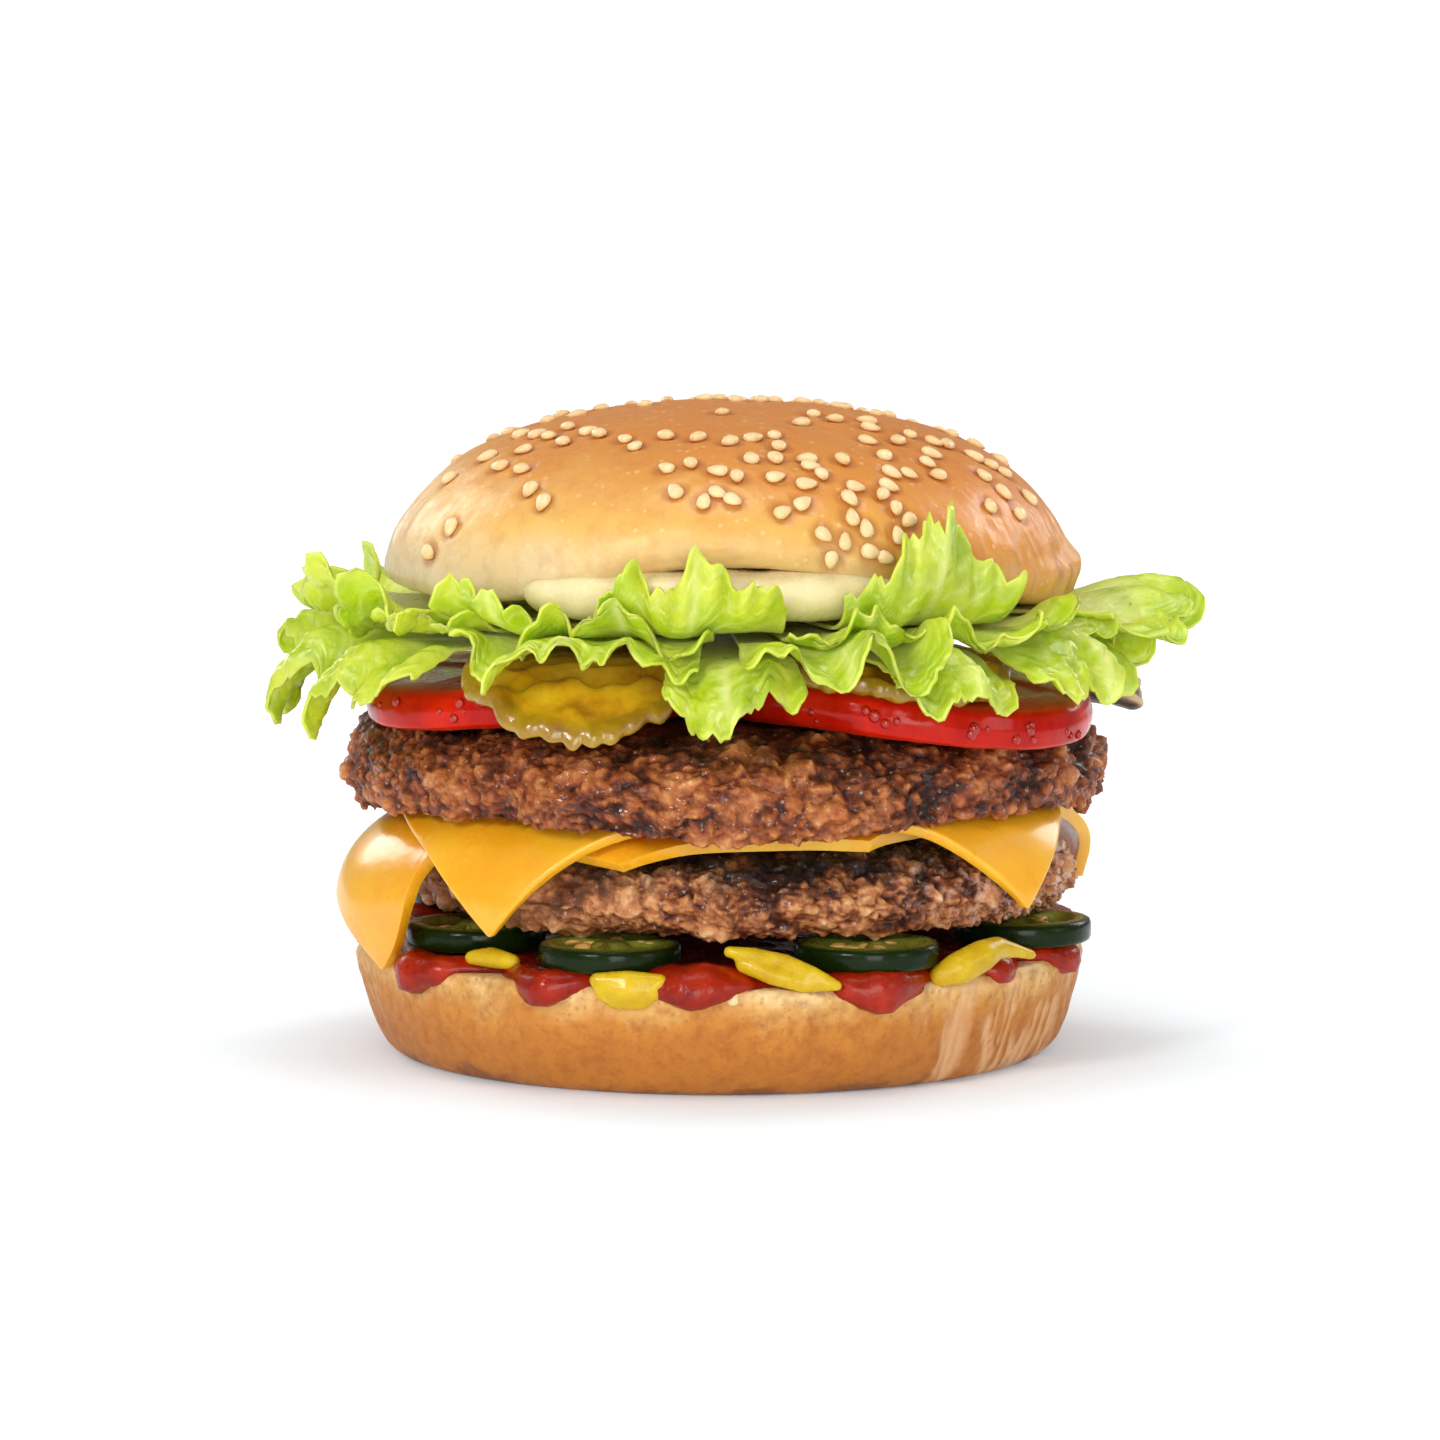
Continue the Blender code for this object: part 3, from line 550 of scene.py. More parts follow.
def makeChillies():
    green = chilliMaterial()
    for number, place in enumerate(chilli["places"], 1):
        radius, thick = chilli["radius"], chilli["thickness"]
        rim = [(radius - 0.7, thick), (radius - 0.2, thick - 0.25), (radius, thick - 0.8)]
        rim += [(radius, 0.5 * thick)]
        face = [(radius * share / 14.0, thick) for share in range(13)]
        rings = face + rim + [(radius, 0.8), (radius - 0.2, 0.25), (radius - 0.7, 0.0)]
        rings += [(radius * share / 14.0, 0.0) for share in (11, 7, 3, 0)]
        mesh = roundBody(lambda angle: rings, 96)
        flesh = mesh.verts.layers.float.new("flesh")
        for vert in mesh.verts:
            angle = math.atan2(vert.co.y, vert.co.x)
            distance = vert.co.xy.length
            cutFace = soften(0.1, 0.4, abs(vert.co.z - 1.6) - 1.0)
            vert[flesh] = (1.0 - soften(radius - 1.0, radius - 0.5, distance)) * cutFace
            pocket = soften(2.0, 3.2, distance) * (1.0 - soften(radius - 2.8, radius - 1.9, distance))
            pocket *= soften(0.1, 0.45, abs(math.cos(1.5 * angle + place[0])))
            if vert.co.z > 2.0:
                vert.co.z -= chilli["pocketDepth"] * pocket
            vert.co.x *= 1.0 + 0.04 * wave(angle, 0.8, place[0])
            vert.co.y *= 0.97 + 0.05 * wave(angle, 0.8, place[1])
        bmesh.ops.translate(mesh, vec=Vector((*place, chilli["floor"])), verts=mesh.verts)
        finishPiece(mesh, f"chilliSlice_{number}", green, [f"chilli_{number}"])

    draw = random.Random(chilli["draw"])
    seeds = bmesh.new()
    for place in chilli["places"]:
        for _ in range(chilli["seedsEach"]):
            angle = draw.uniform(0.0, turn)
            distance = draw.uniform(2.8, 6.0)
            made = bmesh.ops.create_icosphere(seeds, subdivisions=2, radius=1.0)["verts"]
            bmesh.ops.scale(seeds, vec=(1.25, 1.0, 0.35), verts=made)
            lean = Matrix.Rotation(draw.uniform(-0.5, 0.5), 3, "X") @ Matrix.Rotation(angle, 3, "Z")
            bmesh.ops.rotate(seeds, matrix=lean, verts=made)
            top = chilli["floor"] + chilli["thickness"] - 0.55
            spot = (place[0] + distance * math.cos(angle), place[1] + distance * math.sin(angle), top)
            bmesh.ops.translate(seeds, vec=Vector(spot), verts=made)
    pale, tree, shader = startMaterial("chilliSeed", 0.4, Subsurface_Weight=0.2, Subsurface_Scale=0.001)
    broad = patch(tree, 1.5)[0]
    feed(tree, shader.inputs["Base Color"], mixed(tree, broad, tint(226, 190, 110), tint(204, 150, 70)))
    finishPiece(seeds, "chilliSeeds", pale, [])


makeChillies()
print("bottom bun, sauces and chilli slices made")


# Patties of minced beef

# Each patty's dark top band below is seared crust, darkened further as painted shade under the layers above it
lowerPatty = {
    "centre": (2.4, 0.0), "radius": 46.6, "bottom": 20.1, "top": 32.2, "seed": 5.0, "searShadeFrom": 26.4,
    "grey": True,
    "searShadeDark": tint(6, 2, 1), "searShadePale": tint(34, 13, 7),
}
upperPatty = {
    "centre": (0.3, 0.0), "radius": 52.4, "bottom": 37.4, "top": 47.6, "seed": 9.0, "searShadeFrom": 44.0,
    "grey": False,
    "searShadeDark": tint(26, 7, 2), "searShadePale": tint(112, 42, 10),
    "sag": 1.8, "sagBetween": 1.6, "cheeseTurn": -130.0,
}
mince = {
    "cragSize": 6.5, "cragDepth": 1.5, "lump": 4.6, "lumpDepth": 1.0, "grain": 2.1, "grainDepth": 0.62,
    "fine": 1.05, "fineDepth": 0.3,
}


def pattyReach(angle, radius, seed):
    return radius * (1.0 + 0.022 * wave(angle, 1.4, seed) + 0.018 * wave(angle, 4.0, seed))


def lowerSection(angle):
    top, bottom = lowerPatty["top"], lowerPatty["bottom"]
    points = [(0.0, top), (0.4, top), (0.72, top - 0.1), (0.86, top - 0.7)]
    points += [(0.94, top - 2.4), (0.985, top - 4.8), (1.0, top - 7.2)]
    points += [(0.985, bottom + 3.0), (0.945, bottom + 0.9), (0.87, bottom), (0.5, bottom), (0.0, bottom)]
    return points


def upperSection(angle):
    top, bottom = upperPatty["top"], upperPatty["bottom"]
    corner = math.cos(2.0 * (angle - math.radians(upperPatty["cheeseTurn"]))) ** 2
    rim = bottom - upperPatty["sag"] - upperPatty["sagBetween"] * (1.0 - corner)
    points = [(0.0, top), (0.4, top), (0.72, top - 0.1), (0.86, top - 0.8)]
    points += [(0.945, top - 2.6), (0.99, top - 5.4), (1.0, rim + 4.4), (0.99, rim + 1.6), (0.96, rim)]
    points += [(0.91, bottom - 0.5), (0.84, bottom), (0.4, bottom), (0.0, bottom)]
    return points


def beefMaterial(name, patty):
    material, tree, shader = startMaterial(
        name, 0.45, Subsurface_Weight=0.06, Subsurface_Scale=0.0015, Specular_IOR_Level=0.3)
    shader.inputs["Subsurface Radius"].default_value = (1.0, 0.4, 0.25)
    shader.inputs["Coat Roughness"].default_value = 0.12
    broad, fineNoise = patch(tree, 5.0)
    tiny, tinier = patch(tree, 1.4)
    # The crag mark is painted shade and highlight: the ramps below darken the cracks between the grains of
    # mince and make the grain tops paler
    crag = marked(tree, "crag")
    tone = worked(tree, "ADD", crag, spread(tree, tiny, 0.3, 0.7, -0.16, 0.16))
    if patty["grey"]:
        meat = ramp(tree, tone, (
            (0.08, tint(70, 28, 12)), (0.26, tint(146, 80, 42)), (0.46, tint(212, 142, 86)),
            (0.7, tint(236, 180, 124)), (0.95, tint(246, 216, 180)),
        ))
    else:
        meat = ramp(tree, tone, (
            (0.08, tint(44, 13, 4)), (0.27, tint(112, 50, 18)), (0.48, tint(172, 96, 46)),
            (0.72, tint(206, 136, 78)), (0.95, tint(240, 186, 128)),
        ))
    red = ramp(tree, tone, ((0.1, tint(50, 11, 1)), (0.45, tint(144, 56, 14)), (0.9, tint(214, 116, 50))))
    meat = mixed(tree, spread(tree, broad, 0.46, 0.66, 0.0, 0.7), meat, red)
    # A dark band round the top of each patty, from the height set for it upwards: seared crust, darkened
    # further as painted shade under the layers above
    burnt = mixed(tree, spread(tree, tone, 0.3, 0.9), patty["searShadeDark"], patty["searShadePale"])
    rise = worked(tree, "ADD", position(tree, "Z"), spread(tree, broad, 0.3, 0.7, -0.0035, 0.0035))
    charred = spread(tree, rise, patty["searShadeFrom"] * mm, (patty["searShadeFrom"] + 4.0) * mm, 0.0, 0.96)
    meat = mixed(tree, charred, meat, burnt)
    if patty["grey"]:
        rightEnd = spread(tree, position(tree, "X"), 0.022, 0.042)
        glint = worked(tree, "MULTIPLY", rightEnd, spread(tree, tiny, 0.5, 0.62, 0.0, 0.6))
        meat = mixed(tree, glint, meat, tint(236, 214, 206))
        # Painted light: the left end of the patty is made paler, as lit from the left
        leftEnd = spread(tree, position(tree, "X"), -0.03, -0.012, 0.3, 0.0)
        meat = mixed(tree, leftEnd, meat, tint(226, 160, 108))
    fat = worked(tree, "MULTIPLY", fleck(tree, 0.8, 0.16), spread(tree, tinier, 0.45, 0.6, 0.0, 0.6))
    meat = mixed(tree, fat, meat, tint(222, 186, 156))
    feed(tree, shader.inputs["Base Color"], meat)
    wet = spread(tree, fineNoise, 0.44, 0.62)
    feed(tree, shader.inputs["Coat Weight"], worked(tree, "MULTIPLY", wet, 0.6))
    feed(tree, shader.inputs["Roughness"], spread(tree, wet, 0.0, 1.0, 0.62, 0.3))
    bump(tree, shader, worked(tree, "ADD", tinier, tiny), 0.28)
    return material


def cragAt(spot, seed):
    return noise.fractal(spot / mince["cragSize"] + Vector((0.0, 0.0, seed)), 1.0, 2.0, 2)


def makePatty(name, patty, section, nodes):
    rings = round(112 * grid)
    seed = patty["seed"]

    def profile(angle):
        reach = pattyReach(angle, patty["radius"], seed)
        placed = []
        for share, level in section(angle):
            edge = soften(0.8, 1.0, share)
            spot = Vector((share * reach * math.cos(angle), share * reach * math.sin(angle), level))
            crag = cragAt(spot, seed)
            lump = noise.noise(spot / 11.0 + Vector((seed, 0.0, 0.0)))
            out = share * reach + edge * mince["cragDepth"] * (crag - 0.35)
            placed.append((out, level + 0.35 * edge * lump))
        line = smoothLine(placed[2:-2], rings)
        line[0], line[-1] = placed[2], placed[-3]
        top = [(share * placed[2][0], placed[2][1]) for share in (0.0, 0.3, 0.6, 0.85)]
        under = [(share * placed[-3][0], placed[-3][1]) for share in (0.85, 0.6, 0.3, 0.0)]
        return top + line + under

    mesh = roundBody(profile, round(640 * grid))

    def relief(place, normal):
        distance = place.xy.length
        edge = soften(0.66, 0.8, distance / patty["radius"])
        if edge == 0.0:
            return 0.0, 0.4
        angle = math.atan2(place.y, place.x)
        shifted = noise.noise(place / 2.6 + Vector((9.0, 0.0, 0.0)))
        warp = Vector((noise.noise(place / 2.6), shifted, noise.noise(place / 3.3)))
        lump = grains(place + 1.6 * warp, mince["lump"], seed)
        grain = grains(place + 1.1 * warp, mince["grain"], seed)
        small = grains(place + 0.5 * warp, mince["fine"], seed)
        rough = cloud(place, 7.5, 4, seed)
        knob = 0.0
        if name == "pattyUpper":
            knob = swell(angle, -4.0, 15.0) * (grains(place, 5.2, 3.0) - 0.35) * 2.2
            knob += 1.6 * swell(angle, 180.0, 5.0) * soften(43.5, 45.5, place.z)
        else:
            knob = 0.7 * swell(angle, -22.0, 18.0) * (small - 0.4)
        out = mince["lumpDepth"] * (lump - 0.6) + mince["grainDepth"] * (grain - 0.55)
        out += mince["fineDepth"] * (small - 0.5)
        # shade, kept as the crag mark, is low in the cracks and high on the grains; the material paints shade
        # and highlight from it
        shade = 0.1 + 0.22 * lump + 0.34 * grain + 0.2 * small + 0.34 * rough
        return edge * (out + 0.75 * rough + knob), max(0.0, min(1.0, shade))

    pushOut(mesh, relief, "crag")
    bmesh.ops.translate(mesh, vec=(patty["centre"][0], patty["centre"][1], 0.0), verts=mesh.verts)
    finishPiece(mesh, name, beefMaterial(name + "Beef", patty), nodes)


makePatty("pattyLower", lowerPatty, lowerSection, ["patty_lower"])
makePatty("pattyUpper", upperPatty, upperSection, ["patty_upper"])


# Cheese slices draped over the lower patty

cheese = {"side": 89.0, "thickness": 1.7, "cells": 110, "flat": 40.5, "hang": 7.0}
# each slice: node, direction of its first corner, shift, level, bend radius, then how it springs away
# from the patty, where it is trimmed and how its hanging corners swing sideways
slices = {
    "cheeseLower": (
        "cheese_lower", -170, (6.0, -4.0), 33.4, 8.5, [(-165, 24, 4.5, 16)], [(-82, 42.5)], [(-172, 20, 19)]),
    "cheeseUpper": (
        "cheese_upper", -130, (0.2, -3.3), 36.2, 11.8, [(-165, 24, 4.5, 0)], [],
        [(-132, 18, 5), (-43, 16, -3)]),
}


def thicken(mesh, thickness):  # a sheet becomes a closed body with the sheet in its middle
    mesh.normal_update()
    outward = mesh.verts.layers.float_vector.new("outward")
    for vert in mesh.verts:
        vert[outward] = vert.normal
    sheet = list(mesh.verts)
    copied = bmesh.ops.extrude_face_region(mesh, geom=mesh.faces[:], use_keep_orig=True)["geom"]
    for vert in sheet:
        vert.co -= 0.5 * thickness * vert[outward]
    for vert in copied:
        if isinstance(vert, bmesh.types.BMVert):
            vert.co += 0.5 * thickness * vert[outward]
    mesh.verts.layers.float_vector.remove(outward)
    bmesh.ops.recalc_face_normals(mesh, faces=mesh.faces)


def cheeseMaterial():
    material, tree, shader = startMaterial(
        "meltedCheese", 0.3, Subsurface_Weight=0.35, Subsurface_Scale=0.003,
        Coat_Weight=0.25, Coat_Roughness=0.12)
    shader.inputs["Subsurface Radius"].default_value = (1.0, 0.45, 0.08)
    broad, fineNoise = patch(tree, 16.0)
    colour = mixed(tree, spread(tree, broad, 0.35, 0.65), tint(240, 165, 22), tint(250, 186, 40))
    feed(tree, shader.inputs["Base Color"], colour)
    feed(tree, shader.inputs["Roughness"], spread(tree, broad, 0.3, 0.7, 0.22, 0.38))
    bump(tree, shader, fineNoise, 0.12)
    return material


def makeSlice(name, node, corner, shift, level, bend, springs, trims, twists, material):
    mesh = bmesh.new()
    cells = round(cheese["cells"] * grid)
    bmesh.ops.create_grid(mesh, x_segments=cells, y_segments=cells, size=0.5 * cheese["side"])
    bmesh.ops.rotate(mesh, matrix=Matrix.Rotation(math.radians(corner - 45), 3, "Z"), verts=mesh.verts)
    first = Vector((math.cos(math.radians(corner)), math.sin(math.radians(corner)), 0.0))
    second = Vector((-first.y, first.x, 0.0))
    bmesh.ops.translate(mesh, vec=first * shift[0] + second * shift[1], verts=mesh.verts)
    for degrees, distance in trims:
        away = Vector((math.cos(math.radians(degrees)), math.sin(math.radians(degrees)), 0.0))
        geometry = mesh.verts[:] + mesh.edges[:] + mesh.faces[:]
        bmesh.ops.bisect_plane(mesh, geom=geometry, plane_co=away * distance, plane_no=away, clear_outer=True)
    for vert in mesh.verts:
        angle = math.atan2(vert.co.y, vert.co.x)
        distance = vert.co.xy.length
        for degrees, width, swing in twists:
            angle += math.radians(swing) * swell(angle, degrees, width) * soften(34.0, 52.0, distance)
        beneath = pattyReach(angle, lowerPatty["radius"], lowerPatty["seed"])
        flat = cheese["flat"] + beneath - lowerPatty["radius"]
        radius = bend
        lastTurn = 0.5 * math.pi
        for degrees, width, extra, lean in springs:
            share = swell(angle, degrees, width)
            flat += 2.0 * share
            radius += extra * share
            lastTurn += math.radians(lean) * share
        over = max(0.0, distance - flat)
        turned = min(over / radius, lastTurn)
        rest = cheese["hang"] * math.tanh((over - turned * radius) / cheese["hang"])
        reach = min(distance, flat) + radius * math.sin(turned) + rest * math.cos(turned)
        drop = level - radius * (1.0 - math.cos(turned)) - rest * math.sin(turned)
        sag = 0.1 * noise.noise(vert.co / 14.0) * soften(20.0, 44.0, distance)
        reach += 0.35 * soften(2.0, 12.0, over) * noise.noise(vert.co / 9.0)
        vert.co = (reach * math.cos(angle), reach * math.sin(angle), drop + sag)
    bmesh.ops.recalc_face_normals(mesh, faces=mesh.faces)
    mesh.normal_update()
    if sum(face.normal.z for face in mesh.faces) < 0:
        bmesh.ops.reverse_faces(mesh, faces=mesh.faces)
    thicken(mesh, cheese["thickness"])
    bmesh.ops.translate(mesh, vec=(lowerPatty["centre"][0], lowerPatty["centre"][1], 0.0), verts=mesh.verts)
    finishPiece(mesh, name, material, [node], bevelWidth=0.5)


cheeseYellow = cheeseMaterial()
for name, values in slices.items():
    makeSlice(name, *values, cheeseYellow)


# Tomato slices

tomato = {"thickness": 5.6, "bottom": 48.1, "edge": 1.5, "pocketDepth": 0.5}
tomatoes = [  # name, place, radius, seed
    ("left", (-24.2, -12.0), 23.5, 1.0),
    ("right", (25.0, -18.0), 25.0, 2.0),
    ("back", (1.0, 27.5), 20.5, 3.0),
]


def droop(x, y):  # how far the layers above the upper patty sink towards its rounded edge
    return 0.012 * max(0.0, math.hypot(x, y) - 38.0) ** 2


def tomatoMaterial():
    material, tree, shader = startMaterial(
        "tomatoFlesh", 0.2, Subsurface_Weight=0.05, Subsurface_Scale=0.002, Specular_IOR_Level=0.15,
        Coat_Weight=0.14, Coat_Roughness=0.03)
    shader.inputs["Subsurface Radius"].default_value = (1.0, 0.2, 0.1)
    broad, fineNoise = patch(tree, 7.0, 0.3)
    skin = mixed(tree, spread(tree, broad, 0.35, 0.65), tint(172, 8, 0), tint(208, 32, 6))
    flesh = mixed(tree, fineNoise, tint(168, 40, 14), tint(196, 76, 30))
    jelly = mixed(tree, fleck(tree, 2.2, 0.55), tint(176, 82, 10), tint(224, 178, 80))
    face = mixed(tree, marked(tree, "pocket"), flesh, jelly)
    feed(tree, shader.inputs["Base Color"], mixed(tree, marked(tree, "skin"), face, skin))
    feed(tree, shader.inputs["Roughness"], spread(tree, fineNoise, 0.3, 0.7, 0.1, 0.28))
    bump(tree, shader, fineNoise, 0.08)
    return material


def makeTomato(name, place, radius, seed, material):
    thick, edge = tomato["thickness"], tomato["edge"]
    corner = []
    for step in range(7):
        lean = 0.5 * math.pi * step / 6
        corner.append((radius - edge + edge * math.sin(lean), thick - edge + edge * math.cos(lean)))
    side = []
    for step in range(1, 7):
        level = edge + (thick - 2.0 * edge) * (1.0 - step / 6)
        side.append((radius + 0.25 * math.sin(math.pi * step / 6), level))
    lower = [(reach, thick - level) for reach, level in reversed(corner[:-1])]
    face = [(radius * step / 26.0, thick) for step in range(24)]
    rings = face + corner + side + lower + [(0.8 * radius, 0.0), (0.4 * radius, 0.0), (0.0, 0.0)]
    mesh = roundBody(lambda angle: rings, round(220 * grid))
    skin = mesh.verts.layers.float.new("skin")
    pocket = mesh.verts.layers.float.new("pocket")
    for vert in mesh.verts:
        angle = math.atan2(vert.co.y, vert.co.x)
        distance = vert.co.xy.length
        vert[skin] = soften(radius - 0.9, radius - 0.35, distance)
        hollow = soften(0.3, 0.4, distance / radius) * (1.0 - soften(0.76, 0.84, distance / radius))
        hollow *= soften(0.15, 0.4, abs(math.sin(2.5 * angle + 0.6 * math.sin(angle + seed))))
        vert[pocket] = hollow if vert.co.z > 4.0 else 0.0
        uneven = 1.0 + 0.02 * wave(angle, 1.0, seed)
        x, y = place[0] + vert.co.x * uneven, place[1] + vert.co.y * uneven
        dent = tomato["pocketDepth"] * vert[pocket] + 0.15 * cloud(Vector((x, y, seed)), 6.0, 2)
        vert.co = (x, y, vert.co.z - dent + tomato["bottom"] - droop(x, y))
    finishPiece(mesh, "tomatoSlice_" + name, material, ["tomato_" + name])


tomatoRed = tomatoMaterial()
for name, place, radius, seed in tomatoes:
    makeTomato(name, place, radius, seed, tomatoRed)


# Pickle slices, crinkle cut

pickle = {"thickness": 2.4, "crinkle": 0.42, "pitch": 1.25}
pickles = [  # name, place, radius, where its front part bends down, seed
    ("left", (-18.0, -33.5), 16.0, -34.5, 0.0),
    ("right", (22.0, -29.5), 16.0, -99.0, 1.0),
    ("back", (-4.0, 26.0), 15.0, -99.0, 2.0),
]


def pickleMaterial():
    material, tree, shader = startMaterial(
        "pickleFlesh", 0.2, Subsurface_Weight=0.45, Subsurface_Scale=0.004,
        Coat_Weight=0.4, Coat_Roughness=0.1)
    shader.inputs["Subsurface Radius"].default_value = (1.0, 0.7, 0.12)
    broad, fineNoise = patch(tree, 6.0)
    flesh = ramp(tree, broad, (
        (0.32, tint(163, 101, 3)), (0.5, tint(206, 152, 6)), (0.68, tint(222, 178, 24)),
    ))
    rind = mixed(tree, broad, tint(120, 84, 6), tint(160, 132, 18))
    colour = mixed(tree, spread(tree, marked(tree, "rind"), 0.0, 1.0, 0.0, 0.8), flesh, rind)
    colour = mixed(tree, spread(tree, marked(tree, "core"), 0.0, 1.0, 0.0, 0.35), colour, tint(214, 176, 60))
    feed(tree, shader.inputs["Base Color"], colour)
    feed(tree, shader.inputs["Roughness"], spread(tree, fineNoise, 0.3, 0.7, 0.12, 0.3))
    bump(tree, shader, fineNoise, 0.15)
    return material


def makePickle(name, place, radius, fold, seed, material):
    thick = pickle["thickness"]

    def profile(angle):
        scallop = 0.5 * abs(math.cos(15.0 * angle + math.sin(4.0 * angle)))
        edge = radius * (1.0 + 0.016 * math.cos(9.0 * angle + seed)) + scallop
        face = [(edge * step / 30.0, thick) for step in range(29)]
        rim = [(edge - 0.25, thick - 0.15), (edge, thick - 0.6), (edge + 0.05, 0.5 * thick)]
        rim += [(edge, 0.6), (edge - 0.25, 0.15)]
        return face + rim + [(edge * step / 30.0, 0.0) for step in range(28, -1, -2)]

    mesh = roundBody(profile, round(240 * grid))
    rind = mesh.verts.layers.float.new("rind")
    core = mesh.verts.layers.float.new("core")
    bottom = tomato["bottom"] + tomato["thickness"] + 0.3 + 0.35
    for vert in mesh.verts:
        distance = vert.co.xy.length
        vert[rind] = soften(radius - 1.4, radius - 0.4, distance)
        vert[core] = 1.0 - soften(0.35 * radius, 0.6 * radius, distance)
        x, y = place[0] + vert.co.x, place[1] + vert.co.y
        down = 0.034 * max(0.0, fold - y) ** 2
        wobble = 0.9 * math.sin(0.55 * vert.co.x + seed) + 0.5 * math.sin(1.3 * vert.co.x)
        ridge = pickle["crinkle"] * math.cos(pickle["pitch"] * (vert.co.y + wobble) + seed)
        vert.co = (x, y, vert.co.z + bottom + ridge - droop(x, max(y, fold)) - down)
    finishPiece(mesh, "pickleSlice_" + name, material, ["pickle_" + name])


pickleOlive = pickleMaterial()
for name, place, radius, fold, seed in pickles:
    makePickle(name, place, radius, fold, seed, pickleOlive)


# Grilled onion that sticks out at the right

onion = {"cuts": 6, "smoothing": 14}


def makeOnion():
    mesh = bmesh.new()
    mesh.from_mesh(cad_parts["onion"].data)
    bmesh.ops.scale(mesh, vec=(1 / mm, 1 / mm, 1 / mm), verts=mesh.verts)
    bmesh.ops.remove_doubles(mesh, verts=mesh.verts, dist=0.001)
    bmesh.ops.subdivide_edges(mesh, edges=mesh.edges[:], cuts=onion["cuts"], use_grid_fill=True)
    for _ in range(onion["smoothing"]):
        bmesh.ops.smooth_vert(
            mesh, verts=mesh.verts, factor=0.5, use_axis_x=True, use_axis_y=True, use_axis_z=True)
    bmesh.ops.triangulate(mesh, faces=mesh.faces)

    def relief(place, normal):
        across = place.y - 14.0 + 0.06 * (place.x - 45.0) ** 2 * 0.1
        rings = math.hypot(across, place.z - 58.0 + 0.1 * place.x)
        layer = math.sin(2.3 * rings + 1.3 * noise.noise(place / 5.0))
        return 0.42 * layer + 0.7 * cloud(place, 5.0, 3), 0.5 + 0.5 * layer

    pushOut(mesh, relief, "layer")
    material, tree, shader = startMaterial(
        "grilledOnion", 0.4, Subsurface_Weight=0.15, Subsurface_Scale=0.002)
    broad, fineNoise = patch(tree, 3.0)
    streaks = ramp(tree, worked(tree, "MULTIPLY", marked(tree, "layer"), broad), (
        (0.05, tint(64, 38, 18)), (0.25, tint(136, 98, 62)), (0.5, tint(206, 178, 138))))
    feed(tree, shader.inputs["Base Color"], streaks)
    feed(tree, shader.inputs["Roughness"], spread(tree, fineNoise, 0.3, 0.7, 0.3, 0.55))
    bump(tree, shader, fineNoise, 0.2)
    finishPiece(mesh, "onionPiece", material, ["onion"])


makeOnion()


# Lettuce

lettuce = {
    "thickness": 0.45, "levels": (58.1, 59.9, 61.7), "root": 9.0, "bend": 45.5, "bendShare": 0.36,
    "fineCell": 0.55, "rows": 50, "ruffleHeight": 2.0, "ruffleReach": 1.1,
    "lobe": 5.2, "lobeDepth": 0.055, "tooth": 1.7, "toothDepth": 0.035, "curl": 11.0, "curlDepth": 1.4,
    "frill": 4.4, "frillDepth": 0.75, "blister": 3.0, "blisterDepth": 0.5,
}
leaves = [
    # name, direction and half its spread in degrees, level, reach of its tip, height of its tip
    ("left", -165, 29, 0, 60.5, 45.5),
    ("left_upper", -161, 24, 2, 57.0, 67.5),
    ("front_left_frill", -126, 9, 2, 53.0, 70.0),
    ("front_left", -112, 19, 1, 58.5, 57.0),
    ("front_collar", -95, 15, 2, 52.0, 74.5),
    ("front_lobe", -88, 10, 0, 57.0, 47.0),
    ("front_right", -73, 14, 1, 61.0, 58.0),
    ("upright", -55, 16, 2, 50.5, 80.0),
    ("right_lobe", -56, 10, 0, 60.5, 48.5),
    ("right", -32, 13, 1, 61.0, 46.0),
    ("far_right", -8, 17, 2, 64.5, 59.0),
    ("back_right", 33, 17, 0, 58.5, 54.5),
    ("back_right_upper", 44, 21, 2, 54.0, 73.0),
    ("back", 82, 22, 1, 60.0, 57.0),
    ("back_lobe", 106, 17, 0, 57.0, 50.0),
    ("back_left_upper", 124, 20, 2, 54.0, 71.0),
]


# folds of the same leaves that fill the space between the levels: direction, half spread, height,
# reach of the tip, height of the tip
folds = [
    (-143, 15, 60.8, 54.0, 63.0), (-106, 15, 60.8, 53.5, 63.5), (-69, 11, 60.8, 54.0, 64.5),
    (-44.5, 12.5, 60.8, 56.0, 64.0), (-16, 15, 60.8, 58.0, 58.5), (62, 22, 60.8, 55.0, 64.0),
    (150, 24, 60.8, 55.0, 64.0),
]


def leafMaterial():
    material, tree, shader = startMaterial(
        "lettuceLeaf", 0.32, Subsurface_Weight=0.55, Subsurface_Scale=0.0022,
        Coat_Weight=0.12, Coat_Roughness=0.25)
    shader.inputs["Subsurface Radius"].default_value = (0.7, 1.0, 0.15)
    broad, fineNoise = patch(tree, 10.0)
    blade = ramp(tree, broad, (
        (0.3, tint(137, 164, 10)), (0.5, tint(176, 196, 28)), (0.7, tint(208, 216, 62)),
    ))
    blade = mixed(tree, spread(tree, fineNoise, 0.4, 0.7, 0.0, 0.3), blade, tint(206, 222, 96))
    blade = mixed(tree, marked(tree, "root"), blade, tint(226, 232, 150))
    blade = mixed(tree, marked(tree, "vein"), blade, tint(216, 228, 130))
    # Painted light: the rims of the leaf are made paler, as light shows through the thin edge
    blade = mixed(tree, spread(tree, marked(tree, "edge"), 0.0, 1.0, 0.0, 0.45), blade, tint(214, 226, 84))
    feed(tree, shader.inputs["Base Color"], blade)
    feed(tree, shader.inputs["Roughness"], spread(tree, fineNoise, 0.3, 0.7, 0.24, 0.42))
    bump(tree, shader, fineNoise, 0.25)
    return material


